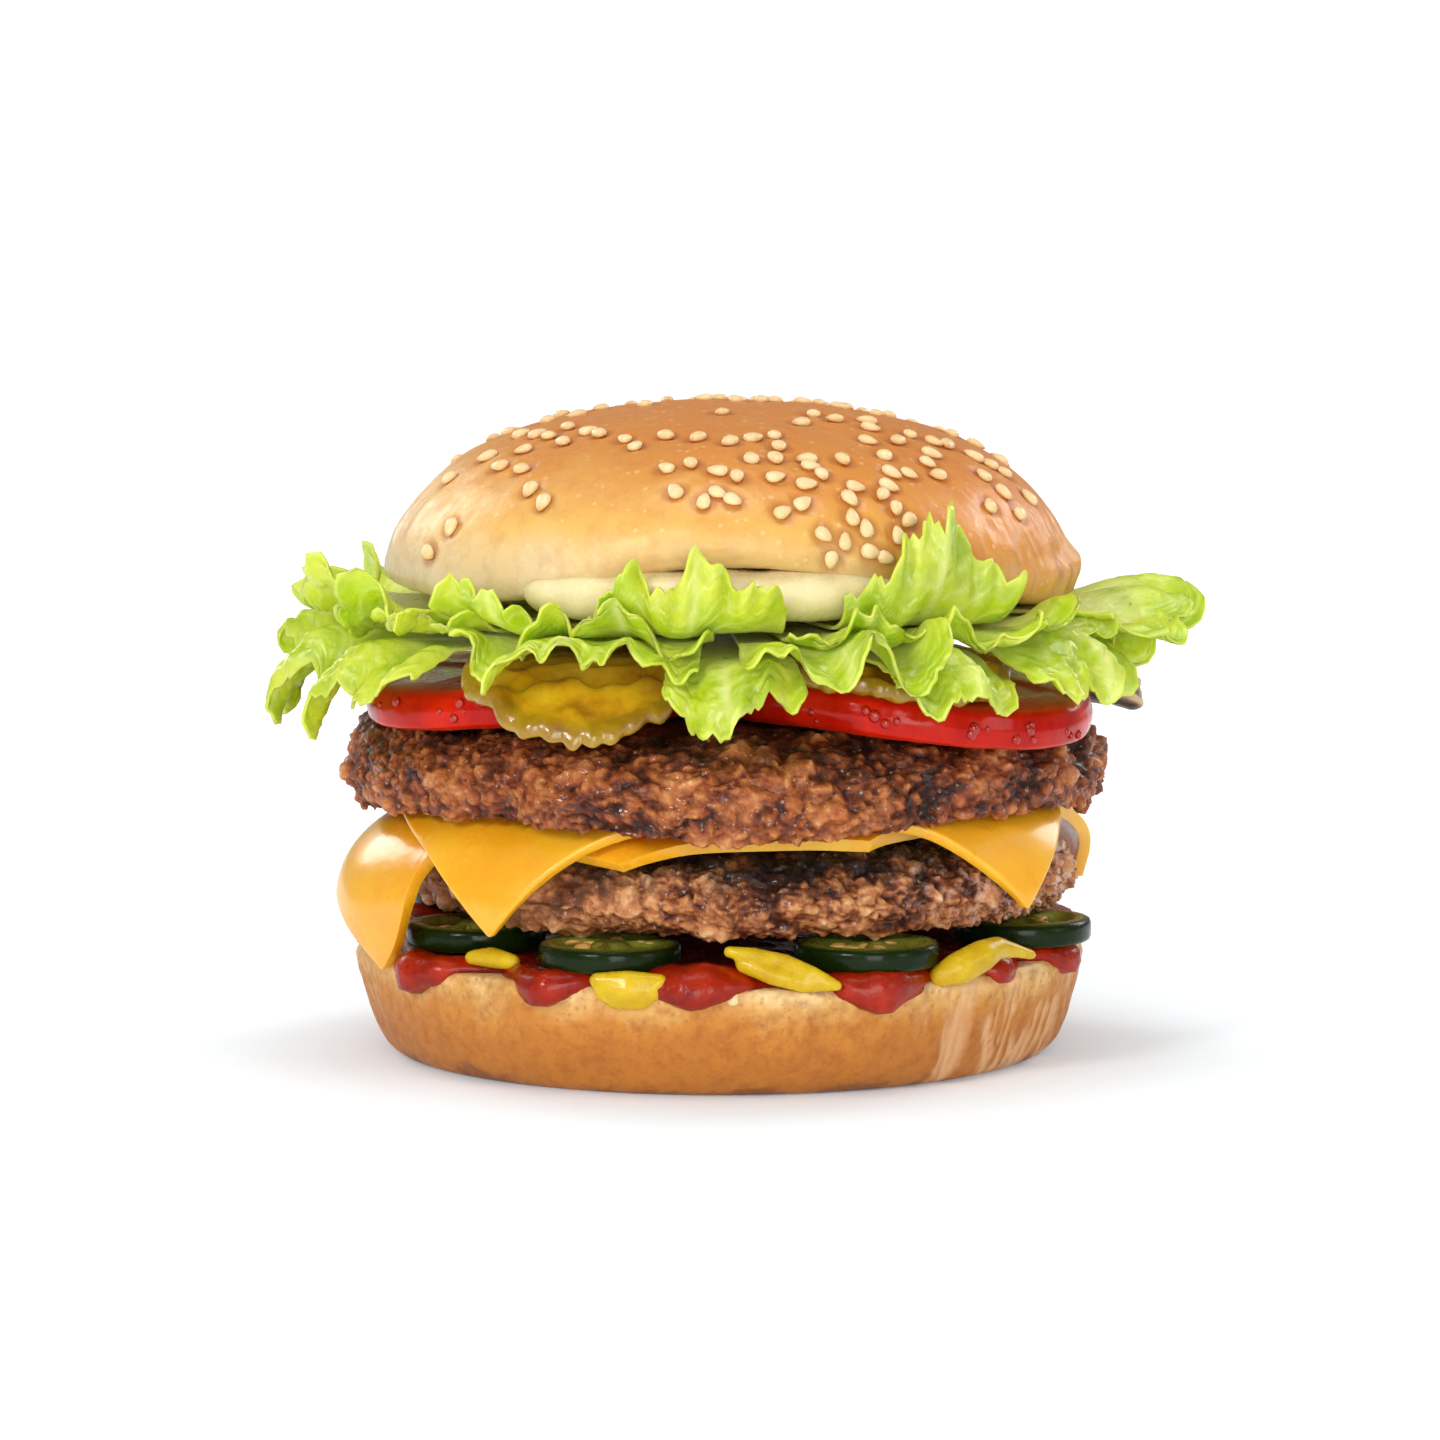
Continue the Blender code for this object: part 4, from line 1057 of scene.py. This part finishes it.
def veinAt(across, share, width, seed):  # 1 on a rib: one down the middle, others branching off it
    middle = abs(across * width + 1.6 * math.sin(3.0 * share + seed)) / (1.5 * (1.15 - share))
    strength = 0.8 * math.exp(-middle ** 2)
    for branch in range(6):
        for side in (-1.0, 1.0):
            run = (share - 0.28 - 0.11 * branch) * 36.0 + side * math.sin(seed + 2.0 * branch)
            away = side * across * width - 1.0 * run - 0.05 * run * run * 0.4
            if run > 0.0:
                strength = max(strength, 0.55 * math.exp(-(away / 0.45) ** 2))
    return strength


def makeLeaf(name, direction, half, slot, reach, tip, nodes, material):
    width = math.radians(half) * 58.0
    cells = round(2.0 * width / lettuce["fineCell"] * grid)
    mesh = bmesh.new()
    bmesh.ops.create_grid(mesh, x_segments=cells, y_segments=round(lettuce["rows"] * grid), size=1.0)
    vein = mesh.verts.layers.float.new("vein")
    edgeMark = mesh.verts.layers.float.new("edge")
    rootMark = mesh.verts.layers.float.new("root")
    bendShare = lettuce["bendShare"]
    for vert in mesh.verts:
        across = vert.co.x
        along = (0.5 * (vert.co.y + 1.0)) ** 0.75
        angle = math.radians(direction + half * across)
        run = across * width  # millimetres along the edge
        spot = Vector((run, along * 40.0, reach + slot))
        loose = noise.noise(Vector((run / 6.0, reach, 1.0)))
        lobe = abs(math.sin(math.pi * (run / lettuce["lobe"] + 0.8 * loose))) ** 0.7
        tooth = abs(math.sin(math.pi * (run / lettuce["tooth"] + 1.5 * loose))) ** 0.8
        jag = 0.07 * wave(angle, 9.0, reach) + lettuce["lobeDepth"] * (lobe - 0.7)
        jag += lettuce["toothDepth"] * (tooth - 0.7)
        share = along * (0.9 - 0.27 * abs(across) ** 2.6 + jag * along)
        if share < bendShare:
            radius = lettuce["root"] + (lettuce["bend"] - lettuce["root"]) * share / bendShare
            rise = slot
        else:
            step = (share - bendShare) / (1.0 - bendShare)
            corner = max(reach + 1.5, lettuce["bend"] + 9.0)
            first, middle, last = (1.0 - step) ** 2, 2.0 * step * (1.0 - step), step * step
            radius = first * lettuce["bend"] + middle * corner + last * reach
            rise = first * slot + middle * slot + last * tip
        free = soften(lettuce["bend"] - 2.0, 58.0, radius)
        ruffle = math.sin(19.0 * angle + 1.7 * math.sin(5.0 * angle)) + 0.5 * math.sin(31.0 * angle + 1.0)
        swing = math.cos(19.0 * angle + 1.7 * math.sin(5.0 * angle))
        rise += (0.12 + lettuce["ruffleHeight"] * free) * ruffle * soften(20.0, 44.0, radius)
        radius += lettuce["ruffleReach"] * free * swing
        sideRim = soften(0.7, 1.0, abs(across)) * soften(0.3, 0.5, along)
        rim = max(soften(0.45, 1.0, along), sideRim) * soften(47.0, 53.0, radius)
        curl = turn * run / lettuce["curl"] + 2.6 * noise.noise(Vector((run / 15.0, along, reach)))
        frill = turn * run / lettuce["frill"] + 3.0 * noise.noise(Vector((run / 8.0, along, reach + 4.0)))
        rise += rim * (lettuce["curlDepth"] * math.sin(curl) + lettuce["frillDepth"] * rim * math.sin(frill))
        radius += rim * (lettuce["curlDepth"] * math.cos(curl) + lettuce["frillDepth"] * rim * math.cos(frill))
        blister = lettuce["blisterDepth"] * cloud(spot, lettuce["blister"], 2, reach)
        vert[vein] = veinAt(across, share, width, reach)
        # edge marks the rim of the leaf, where the material paints light
        vert[edgeMark] = max(soften(0.96, 1.0, along), soften(0.97, 1.0, abs(across)))
        vert[rootMark] = 1.0 - soften(0.2, 0.62, share)
        outward = free * (blister - 0.22 * vert[vein])
        radius += outward
        vert.co = (radius * math.cos(angle), radius * math.sin(angle), rise + outward)
    bmesh.ops.recalc_face_normals(mesh, faces=mesh.faces)
    thicken(mesh, lettuce["thickness"])
    finishPiece(mesh, name, material, nodes)


leafGreen = leafMaterial()
for name, direction, half, level, reach, tip in leaves:
    slot = lettuce["levels"][level]
    makeLeaf("leaf_" + name, direction, half, slot, reach, tip, ["lettuce_" + name], leafGreen)
for number, fold in enumerate(folds, 1):
    makeLeaf(f"leafFold_{number}", *fold, [], leafGreen)


# Mayonnaise under the raised front edge of the top bun

mayonnaise = {
    "centre": 43.6, "halfWidth": 5.4, "halfHeight": 3.5, "level": 66.3, "from": -124.5, "to": -58.0,
    "blunt": 16,
}


def makeMayonnaise():
    mesh = bmesh.new()
    bmesh.ops.create_uvsphere(mesh, u_segments=round(48 * grid), v_segments=round(150 * grid), radius=1.0)
    for vert in mesh.verts:
        along = 1.0 - math.acos(max(-1.0, min(1.0, vert.co.z))) / math.pi
        angle = math.radians(mayonnaise["from"] + (mayonnaise["to"] - mayonnaise["from"]) * along)
        fat = (1.0 - abs(2.0 * along - 1.0) ** mayonnaise["blunt"]) ** 0.5
        around = math.atan2(vert.co.y, vert.co.x)
        push = 1.0 + 0.03 * wave(angle, 3.0, 2.0)
        radius = mayonnaise["centre"] + mayonnaise["halfWidth"] * fat * math.cos(around)
        level = mayonnaise["level"] + mayonnaise["halfHeight"] * fat * math.sin(around)
        vert.co = (radius * push * math.cos(angle), radius * push * math.sin(angle), level)
    bmesh.ops.recalc_face_normals(mesh, faces=mesh.faces)
    pushOut(mesh, lambda place, normal: (0.55 * cloud(place, 7.0, 2, 8.0), 0.0))
    material = sauceMaterial("mayonnaiseSauce", tint(222, 206, 148), tint(236, 222, 176), 0.24, 0.06)
    finishPiece(mesh, "mayonnaiseSmear", material, ["mayonnaise"])


makeMayonnaise()


# Top bun and its sesame seeds

crown = {
    "radius": 47.9, "bottom": 63.4, "top": 88.6, "power": 2.2, "frontLift": 6.2, "lump": 0.55,
    "tornDirection": -22.0, "tornWidth": 22.0, "tornDepth": 0.95,
}
sesame = {"count": 165, "length": 3.1, "width": 2.0, "thickness": 1.25, "spacing": 3.3, "draw": 41}


def crownBottom(angle):
    lift = crown["frontLift"] * swell(angle, -88, 34) + 1.2 * swell(angle, 80, 30)
    return crown["bottom"] + lift + 0.7 * wave(angle, 1.6, 21.0)


def crownRadius(angle):
    return crown["radius"] * (1.0 + 0.012 * wave(angle, 1.2, 31.0))


def crownMaterial():
    material, tree, shader = startMaterial(
        "sesameCrust", 0.42, Subsurface_Weight=0.08, Subsurface_Scale=0.002,
        Coat_Weight=0.06, Coat_Roughness=0.3)
    shader.inputs["Subsurface Radius"].default_value = (1.0, 0.5, 0.25)
    broad, fineNoise = patch(tree, 14.0)
    level = worked(tree, "ADD", position(tree, "Z"), spread(tree, broad, 0.3, 0.7, -0.003, 0.003))
    # Painted light and shade: the level is shifted so the left side comes out paler and the right end browner,
    # as lit from the left
    level = worked(tree, "ADD", level, spread(tree, position(tree, "X"), -0.048, 0.02, -0.004, 0.0))
    level = worked(tree, "ADD", level, spread(tree, position(tree, "X"), 0.016, 0.04, 0.0, 0.011))
    crust = ramp(tree, spread(tree, level, 0.063, 0.0875), (
        (0.0, tint(219, 198, 158)), (0.2, tint(224, 193, 136)), (0.42, tint(226, 176, 90)),
        (0.7, tint(216, 143, 54)), (1.0, tint(211, 129, 40)),
    ))
    crust = mixed(tree, spread(tree, fineNoise, 0.45, 0.7, 0.0, 0.25), crust, tint(182, 98, 36))
    crust = mixed(tree, worked(tree, "MULTIPLY", fleck(tree, 1.1, 0.12), 0.3), crust, tint(246, 214, 160))
    # A darker ring round each sesame seed, partly browned crust and partly painted shade in the hollow the seed
    # sits in
    crust = mixed(tree, worked(tree, "MULTIPLY", marked(tree, "halo"), 0.5), crust, tint(160, 84, 26))
    # Creases are paler along their sides and darker in their deepest part; that darker colour is painted shade
    crease = marked(tree, "crease")
    crust = mixed(tree, spread(tree, crease, 0.12, 0.4, 0.0, 0.55), crust, tint(224, 172, 124))
    crust = mixed(tree, spread(tree, crease, 0.45, 0.9, 0.0, 0.75), crust, tint(166, 100, 52))
    feed(tree, shader.inputs["Base Color"], crust)
    feed(tree, shader.inputs["Roughness"], spread(tree, fineNoise, 0.3, 0.7, 0.34, 0.52))
    bump(tree, shader, fineNoise, 0.22)
    return material


def crownBody():
    def profile(angle):
        rim = crownBottom(angle) + 2.2
        radius = crownRadius(angle)
        points = []
        steps = round(76 * grid)
        for step in range(steps + 1):
            lean = 0.5 * math.pi * step / steps
            share = math.sin(lean) ** (2.0 / crown["power"])
            lift = max(0.0, math.cos(lean)) ** (2.0 / crown["power"])
            points.append((radius * share, rim + (crown["top"] - rim) * lift))
        middle = crown["bottom"] + 0.6 * (rim - 2.2 - crown["bottom"])
        under = [(radius, rim), (radius - 0.35, rim - 1.0), (radius - 1.4, rim - 1.9)]
        under += [(radius - 3.0, rim - 2.3), (0.85 * radius, rim - 2.4)]
        under += [(0.72 * radius, middle), (0.4 * radius, crown["bottom"])]
        return points[:-1] + smoothLine([*under, (0.0, crown["bottom"])], round(34 * grid))[1:]

    mesh = roundBody(profile, round(440 * grid))

    def relief(place, normal):
        angle = math.atan2(place.y, place.x)
        low = 1.0 - soften(72.0, 84.0, place.z)
        crease = low * crustCrease(place, crown["tornDirection"], crown["tornWidth"], 2.1)
        crease = max(crease, 0.6 * low * crustCrease(place, -172.0, 16.0, 3.0))
        crease = max(crease, 0.5 * low * crustCrease(place, 120.0, 30.0, 3.0))
        out = crown["lump"] * cloud(place, 20.0, 3) + 0.07 * cloud(place, 3.0, 2, 6.0)
        out -= crown["tornDepth"] * crease
        nub = swell(angle, -6.0, 5.0) * math.exp(-((place.z - 68.4) / 1.8) ** 2)
        blunt = 1.7 * swell(angle, -8.0, 16.0) * (1.0 - soften(66.5, 69.5, place.z))
        taper = 1.8 * swell(angle, 180.0, 32.0) * (1.0 - soften(76.0, 87.0, place.z))
        fold = swell(angle, -83.0, 7.0) * math.exp(-((place.z - 71.6) / 0.7) ** 2)
        return out + 1.3 * nub + blunt - taper + 0.5 * fold, crease

    pushOut(mesh, relief, "crease")
    return mesh


# where seeds are seen on the front, in picture points of a 1440 point wide view, from left to right
seenSeeds = [
    (429, 553), (449, 479), (451, 528), (487, 457), (499, 466), (522, 434), (523, 450), (523, 469),
    (530, 490), (538, 434), (543, 503), (550, 436), (564, 442), (569, 427), (589, 431), (600, 434),
    (624, 439), (636, 446), (666, 468), (667, 436), (675, 491), (691, 464), (697, 438), (704, 501),
    (717, 471), (718, 493), (721, 413), (729, 442), (733, 500), (737, 477), (751, 458), (754, 438),
    (774, 435), (776, 459), (776, 477), (779, 447), (783, 512), (800, 423), (803, 503), (806, 459),
    (807, 484), (811, 466), (813, 414), (822, 475), (824, 535), (831, 560), (834, 419), (843, 460),
    (845, 541), (850, 499), (852, 517), (856, 487), (866, 421), (866, 528), (868, 441), (871, 428),
    (871, 552), (882, 495), (885, 455), (886, 558), (889, 486), (892, 473), (896, 509), (897, 441),
    (898, 535), (908, 521), (909, 474), (909, 434), (928, 463), (932, 454), (934, 442), (937, 475),
    (947, 445), (973, 456), (983, 475), (989, 464), (990, 505), (991, 586), (1003, 472), (1004, 493),
    (1020, 513), (1028, 497),
]


def seedPlaces(surface):
    eye = Vector((0.0, -1000.0 * view["distance"], 1000.0 * view["height"]))
    tilt = Matrix.Rotation(math.radians(-view["downDegrees"]), 3, "X")
    focal = 1440.0 * view["lens"] / 36.0
    places = []
    for across, down in seenSeeds:
        ray = tilt @ Vector((across - 720.0, focal, 720.0 - down)).normalized()
        hit, normal, _, _ = surface.ray_cast(eye, ray)
        if hit is not None:
            places.append((hit, normal, 0.37 * across + 0.11 * down))
    draw = random.Random(sesame["draw"])
    tries = 0
    while len(places) < sesame["count"] and tries < 20000:
        tries += 1
        angle = draw.uniform(-math.pi, math.pi)
        distance = 45.5 * math.sqrt(draw.random())
        chance = draw.random()
        x, y = distance * math.cos(angle), distance * math.sin(angle)
        crowd = 0.55 + 0.3 * x / 50.0 + 0.35 * noise.noise(Vector((x / 15.0, y / 15.0, 4.0)))
        crowd *= 1.0 - 0.75 * soften(36.0, 46.0, distance)
        if chance > crowd:
            continue
        hit, normal, _, _ = surface.ray_cast(Vector((x, y, 200.0)), Vector((0.0, 0.0, -1.0)))
        hidden = hit is not None and normal.dot((eye - hit).normalized()) < 0.06
        if hidden and all((hit - other).length > sesame["spacing"] for other, _, _ in places):
            places.append((hit, normal, draw.uniform(0.0, turn)))
    return places


def seedMaterial():
    material, tree, shader = startMaterial(
        "sesameSeed", 0.35, Subsurface_Weight=0.3, Subsurface_Scale=0.0012)
    shader.inputs["Subsurface Radius"].default_value = (1.0, 0.7, 0.4)
    broad, fineNoise = patch(tree, 4.0)
    body = mixed(tree, spread(tree, broad, 0.3, 0.7), tint(246, 218, 168), tint(232, 192, 132))
    tip = mixed(tree, marked(tree, "tip"), body, tint(206, 146, 82))
    feed(tree, shader.inputs["Base Color"], tip)
    feed(tree, shader.inputs["Roughness"], spread(tree, fineNoise, 0.3, 0.7, 0.28, 0.45))
    bump(tree, shader, fineNoise, 0.06)
    return material


def addSeed(mesh, layer, place, normal, spin, size=1.0):
    made = bmesh.ops.create_icosphere(mesh, subdivisions=2, radius=0.5)["verts"]
    for vert in made:
        taper = 1.0 - 0.45 * 2.0 * vert.co.x * 0.9
        vert[layer] = soften(0.25, 0.5, vert.co.x)
        vert.co = (size * sesame["length"] * vert.co.x, size * sesame["width"] * taper * vert.co.y,
                   size * sesame["thickness"] * taper * vert.co.z)
    facing = normal.to_track_quat("Z", "Y").to_matrix() @ Matrix.Rotation(spin, 3, "Z")
    bmesh.ops.rotate(mesh, matrix=facing, verts=made)
    bmesh.ops.translate(mesh, vec=place + 0.12 * normal, verts=made)


def makeCrown():
    mesh = crownBody()
    surface = BVHTree.FromBMesh(mesh)
    places = seedPlaces(surface)
    # halo marks a sunken ring round each seed, which the crust material darkens, partly as painted shade
    halo = mesh.verts.layers.float.new("halo")
    tree = KDTree(len(places))
    for index, (place, _, _) in enumerate(places):
        tree.insert(place, index)
    tree.balance()
    for vert in mesh.verts:
        nearest = tree.find(vert.co)[2]
        vert[halo] = 1.0 - soften(1.4, 2.4, nearest)
        vert.co -= 0.3 * vert[halo] * vert.normal
    finishPiece(mesh, "topBun", crownMaterial(), ["crown"])

    seeds = bmesh.new()
    layer = seeds.verts.layers.float.new("tip")
    draw = random.Random(5)
    for place, normal, spin in places:
        addSeed(seeds, layer, place, normal, spin, draw.uniform(0.88, 1.06))
    # one seed has fallen on the rim of the bottom bun
    fallen = Vector((1.7, -49.2, 14.2))
    addSeed(seeds, layer, fallen, Vector((0.0, -1.0, 0.4)).normalized(), 0.5 * math.pi)
    finishPiece(seeds, "sesameSeeds", seedMaterial(), [])


makeCrown()


# Juice drops on the tomatoes

drops = {"count": 34, "small": 0.3, "large": 1.0, "draw": 12}


def makeDrops():
    draw = random.Random(drops["draw"])
    mesh = bmesh.new()
    for _ in range(drops["count"]):
        name, place, radius, seed = tomatoes[draw.choice((0, 0, 1, 1, 2))]
        outward = {"left": -120.0, "right": -70.0, "back": 90.0}[name] + draw.uniform(-52.0, 52.0)
        angle = math.radians(outward)
        reach = radius * (1.0 + 0.02 * wave(angle, 1.0, seed)) + 0.18
        x, y = place[0] + reach * math.cos(angle), place[1] + reach * math.sin(angle)
        level = tomato["bottom"] + draw.uniform(1.4, 4.4) - droop(x, y)
        size = draw.uniform(drops["small"], drops["large"])
        made = bmesh.ops.create_icosphere(mesh, subdivisions=3, radius=size)["verts"]
        bmesh.ops.scale(mesh, vec=(0.7, 1.0, 1.1), verts=made)
        bmesh.ops.rotate(mesh, matrix=Matrix.Rotation(angle, 3, "Z"), verts=made)
        bmesh.ops.translate(mesh, vec=(x, y, level), verts=made)
    material, tree, shader = startMaterial("juiceDrop", 0.05, Coat_Weight=0.25, Coat_Roughness=0.02)
    broad = patch(tree, 1.0)[0]
    feed(tree, shader.inputs["Base Color"], mixed(tree, broad, tint(146, 8, 3), tint(190, 30, 16)))
    finishPiece(mesh, "tomatoDrops", material, [])


makeDrops()


# Floor and light

def makeFloor():
    mesh = bmesh.new()
    bmesh.ops.create_grid(mesh, x_segments=2, y_segments=2, size=16.0)
    data = bpy.data.meshes.new("floor")
    mesh.to_mesh(data)
    mesh.free()
    material, tree, shader = startMaterial("paleFloor", 0.7, Specular_IOR_Level=0.1, Emission_Strength=1.0)
    coordinates = addNode(tree, "ShaderNodeTexCoord")
    away = addNode(tree, "ShaderNodeVectorMath", operation="LENGTH")
    tree.links.new(coordinates.outputs["Object"], away.inputs[0])
    glow = spread(tree, away.outputs["Value"], 0.1, 1.2)
    lit = mixed(tree, glow, (0.11, 0.155, 0.185, 1.0), (0.45, 0.45, 0.45, 1.0))
    feed(tree, shader.inputs["Emission Color"], lit)
    broad = patch(tree, 120.0)[0]
    feed(tree, shader.inputs["Base Color"], mixed(tree, broad, tint(244, 244, 245), tint(240, 241, 242)))
    data.materials.append(material)
    floor = bpy.data.objects.new("floor", data)
    bpy.context.scene.collection.objects.link(floor)


def addLight(name, kind, place, aim, power, size, colour=(1.0, 1.0, 1.0)):
    data = bpy.data.lights.new(name, kind)
    data.energy = power
    data.color = colour
    if kind == "AREA":
        data.shape = "DISK"
        data.size = size
    else:
        data.angle = math.radians(size)
    lamp = bpy.data.objects.new(name, data)
    lamp.location = place
    lamp.rotation_euler = (Vector(aim) - Vector(place)).to_track_quat("-Z", "Y").to_euler()
    bpy.context.scene.collection.objects.link(lamp)


def makeLight():
    centre = (0.0, 0.0, 0.045)
    addLight("overhead", "SUN", (0.0, -0.1, 2.0), (0.0, 0.0, 0.0), 1.3, 40.0)
    addLight("key", "AREA", (-0.5, -0.75, 0.42), centre, 3.6, 0.22)
    addLight("front", "AREA", (0.15, -1.25, 0.2), centre, 5.5, 0.6)
    addLight("fill", "AREA", (0.85, -0.5, 0.3), centre, 1.0, 0.4)
    addLight("rimLeft", "AREA", (-0.5, 0.55, 0.4), centre, 1.6, 0.35)
    addLight("rimRight", "AREA", (0.55, 0.45, 0.4), centre, 1.6, 0.35)
    world = bpy.data.worlds.new("studio")
    world.use_nodes = True
    background = world.node_tree.nodes["Background"]
    background.inputs["Color"].default_value = (1.0, 1.0, 1.0, 1.0)
    background.inputs["Strength"].default_value = 0.3
    bpy.context.scene.world = world
    bpy.context.scene.view_settings.view_transform = "Standard"


makeFloor()
makeLight()
print("floor and light ready")
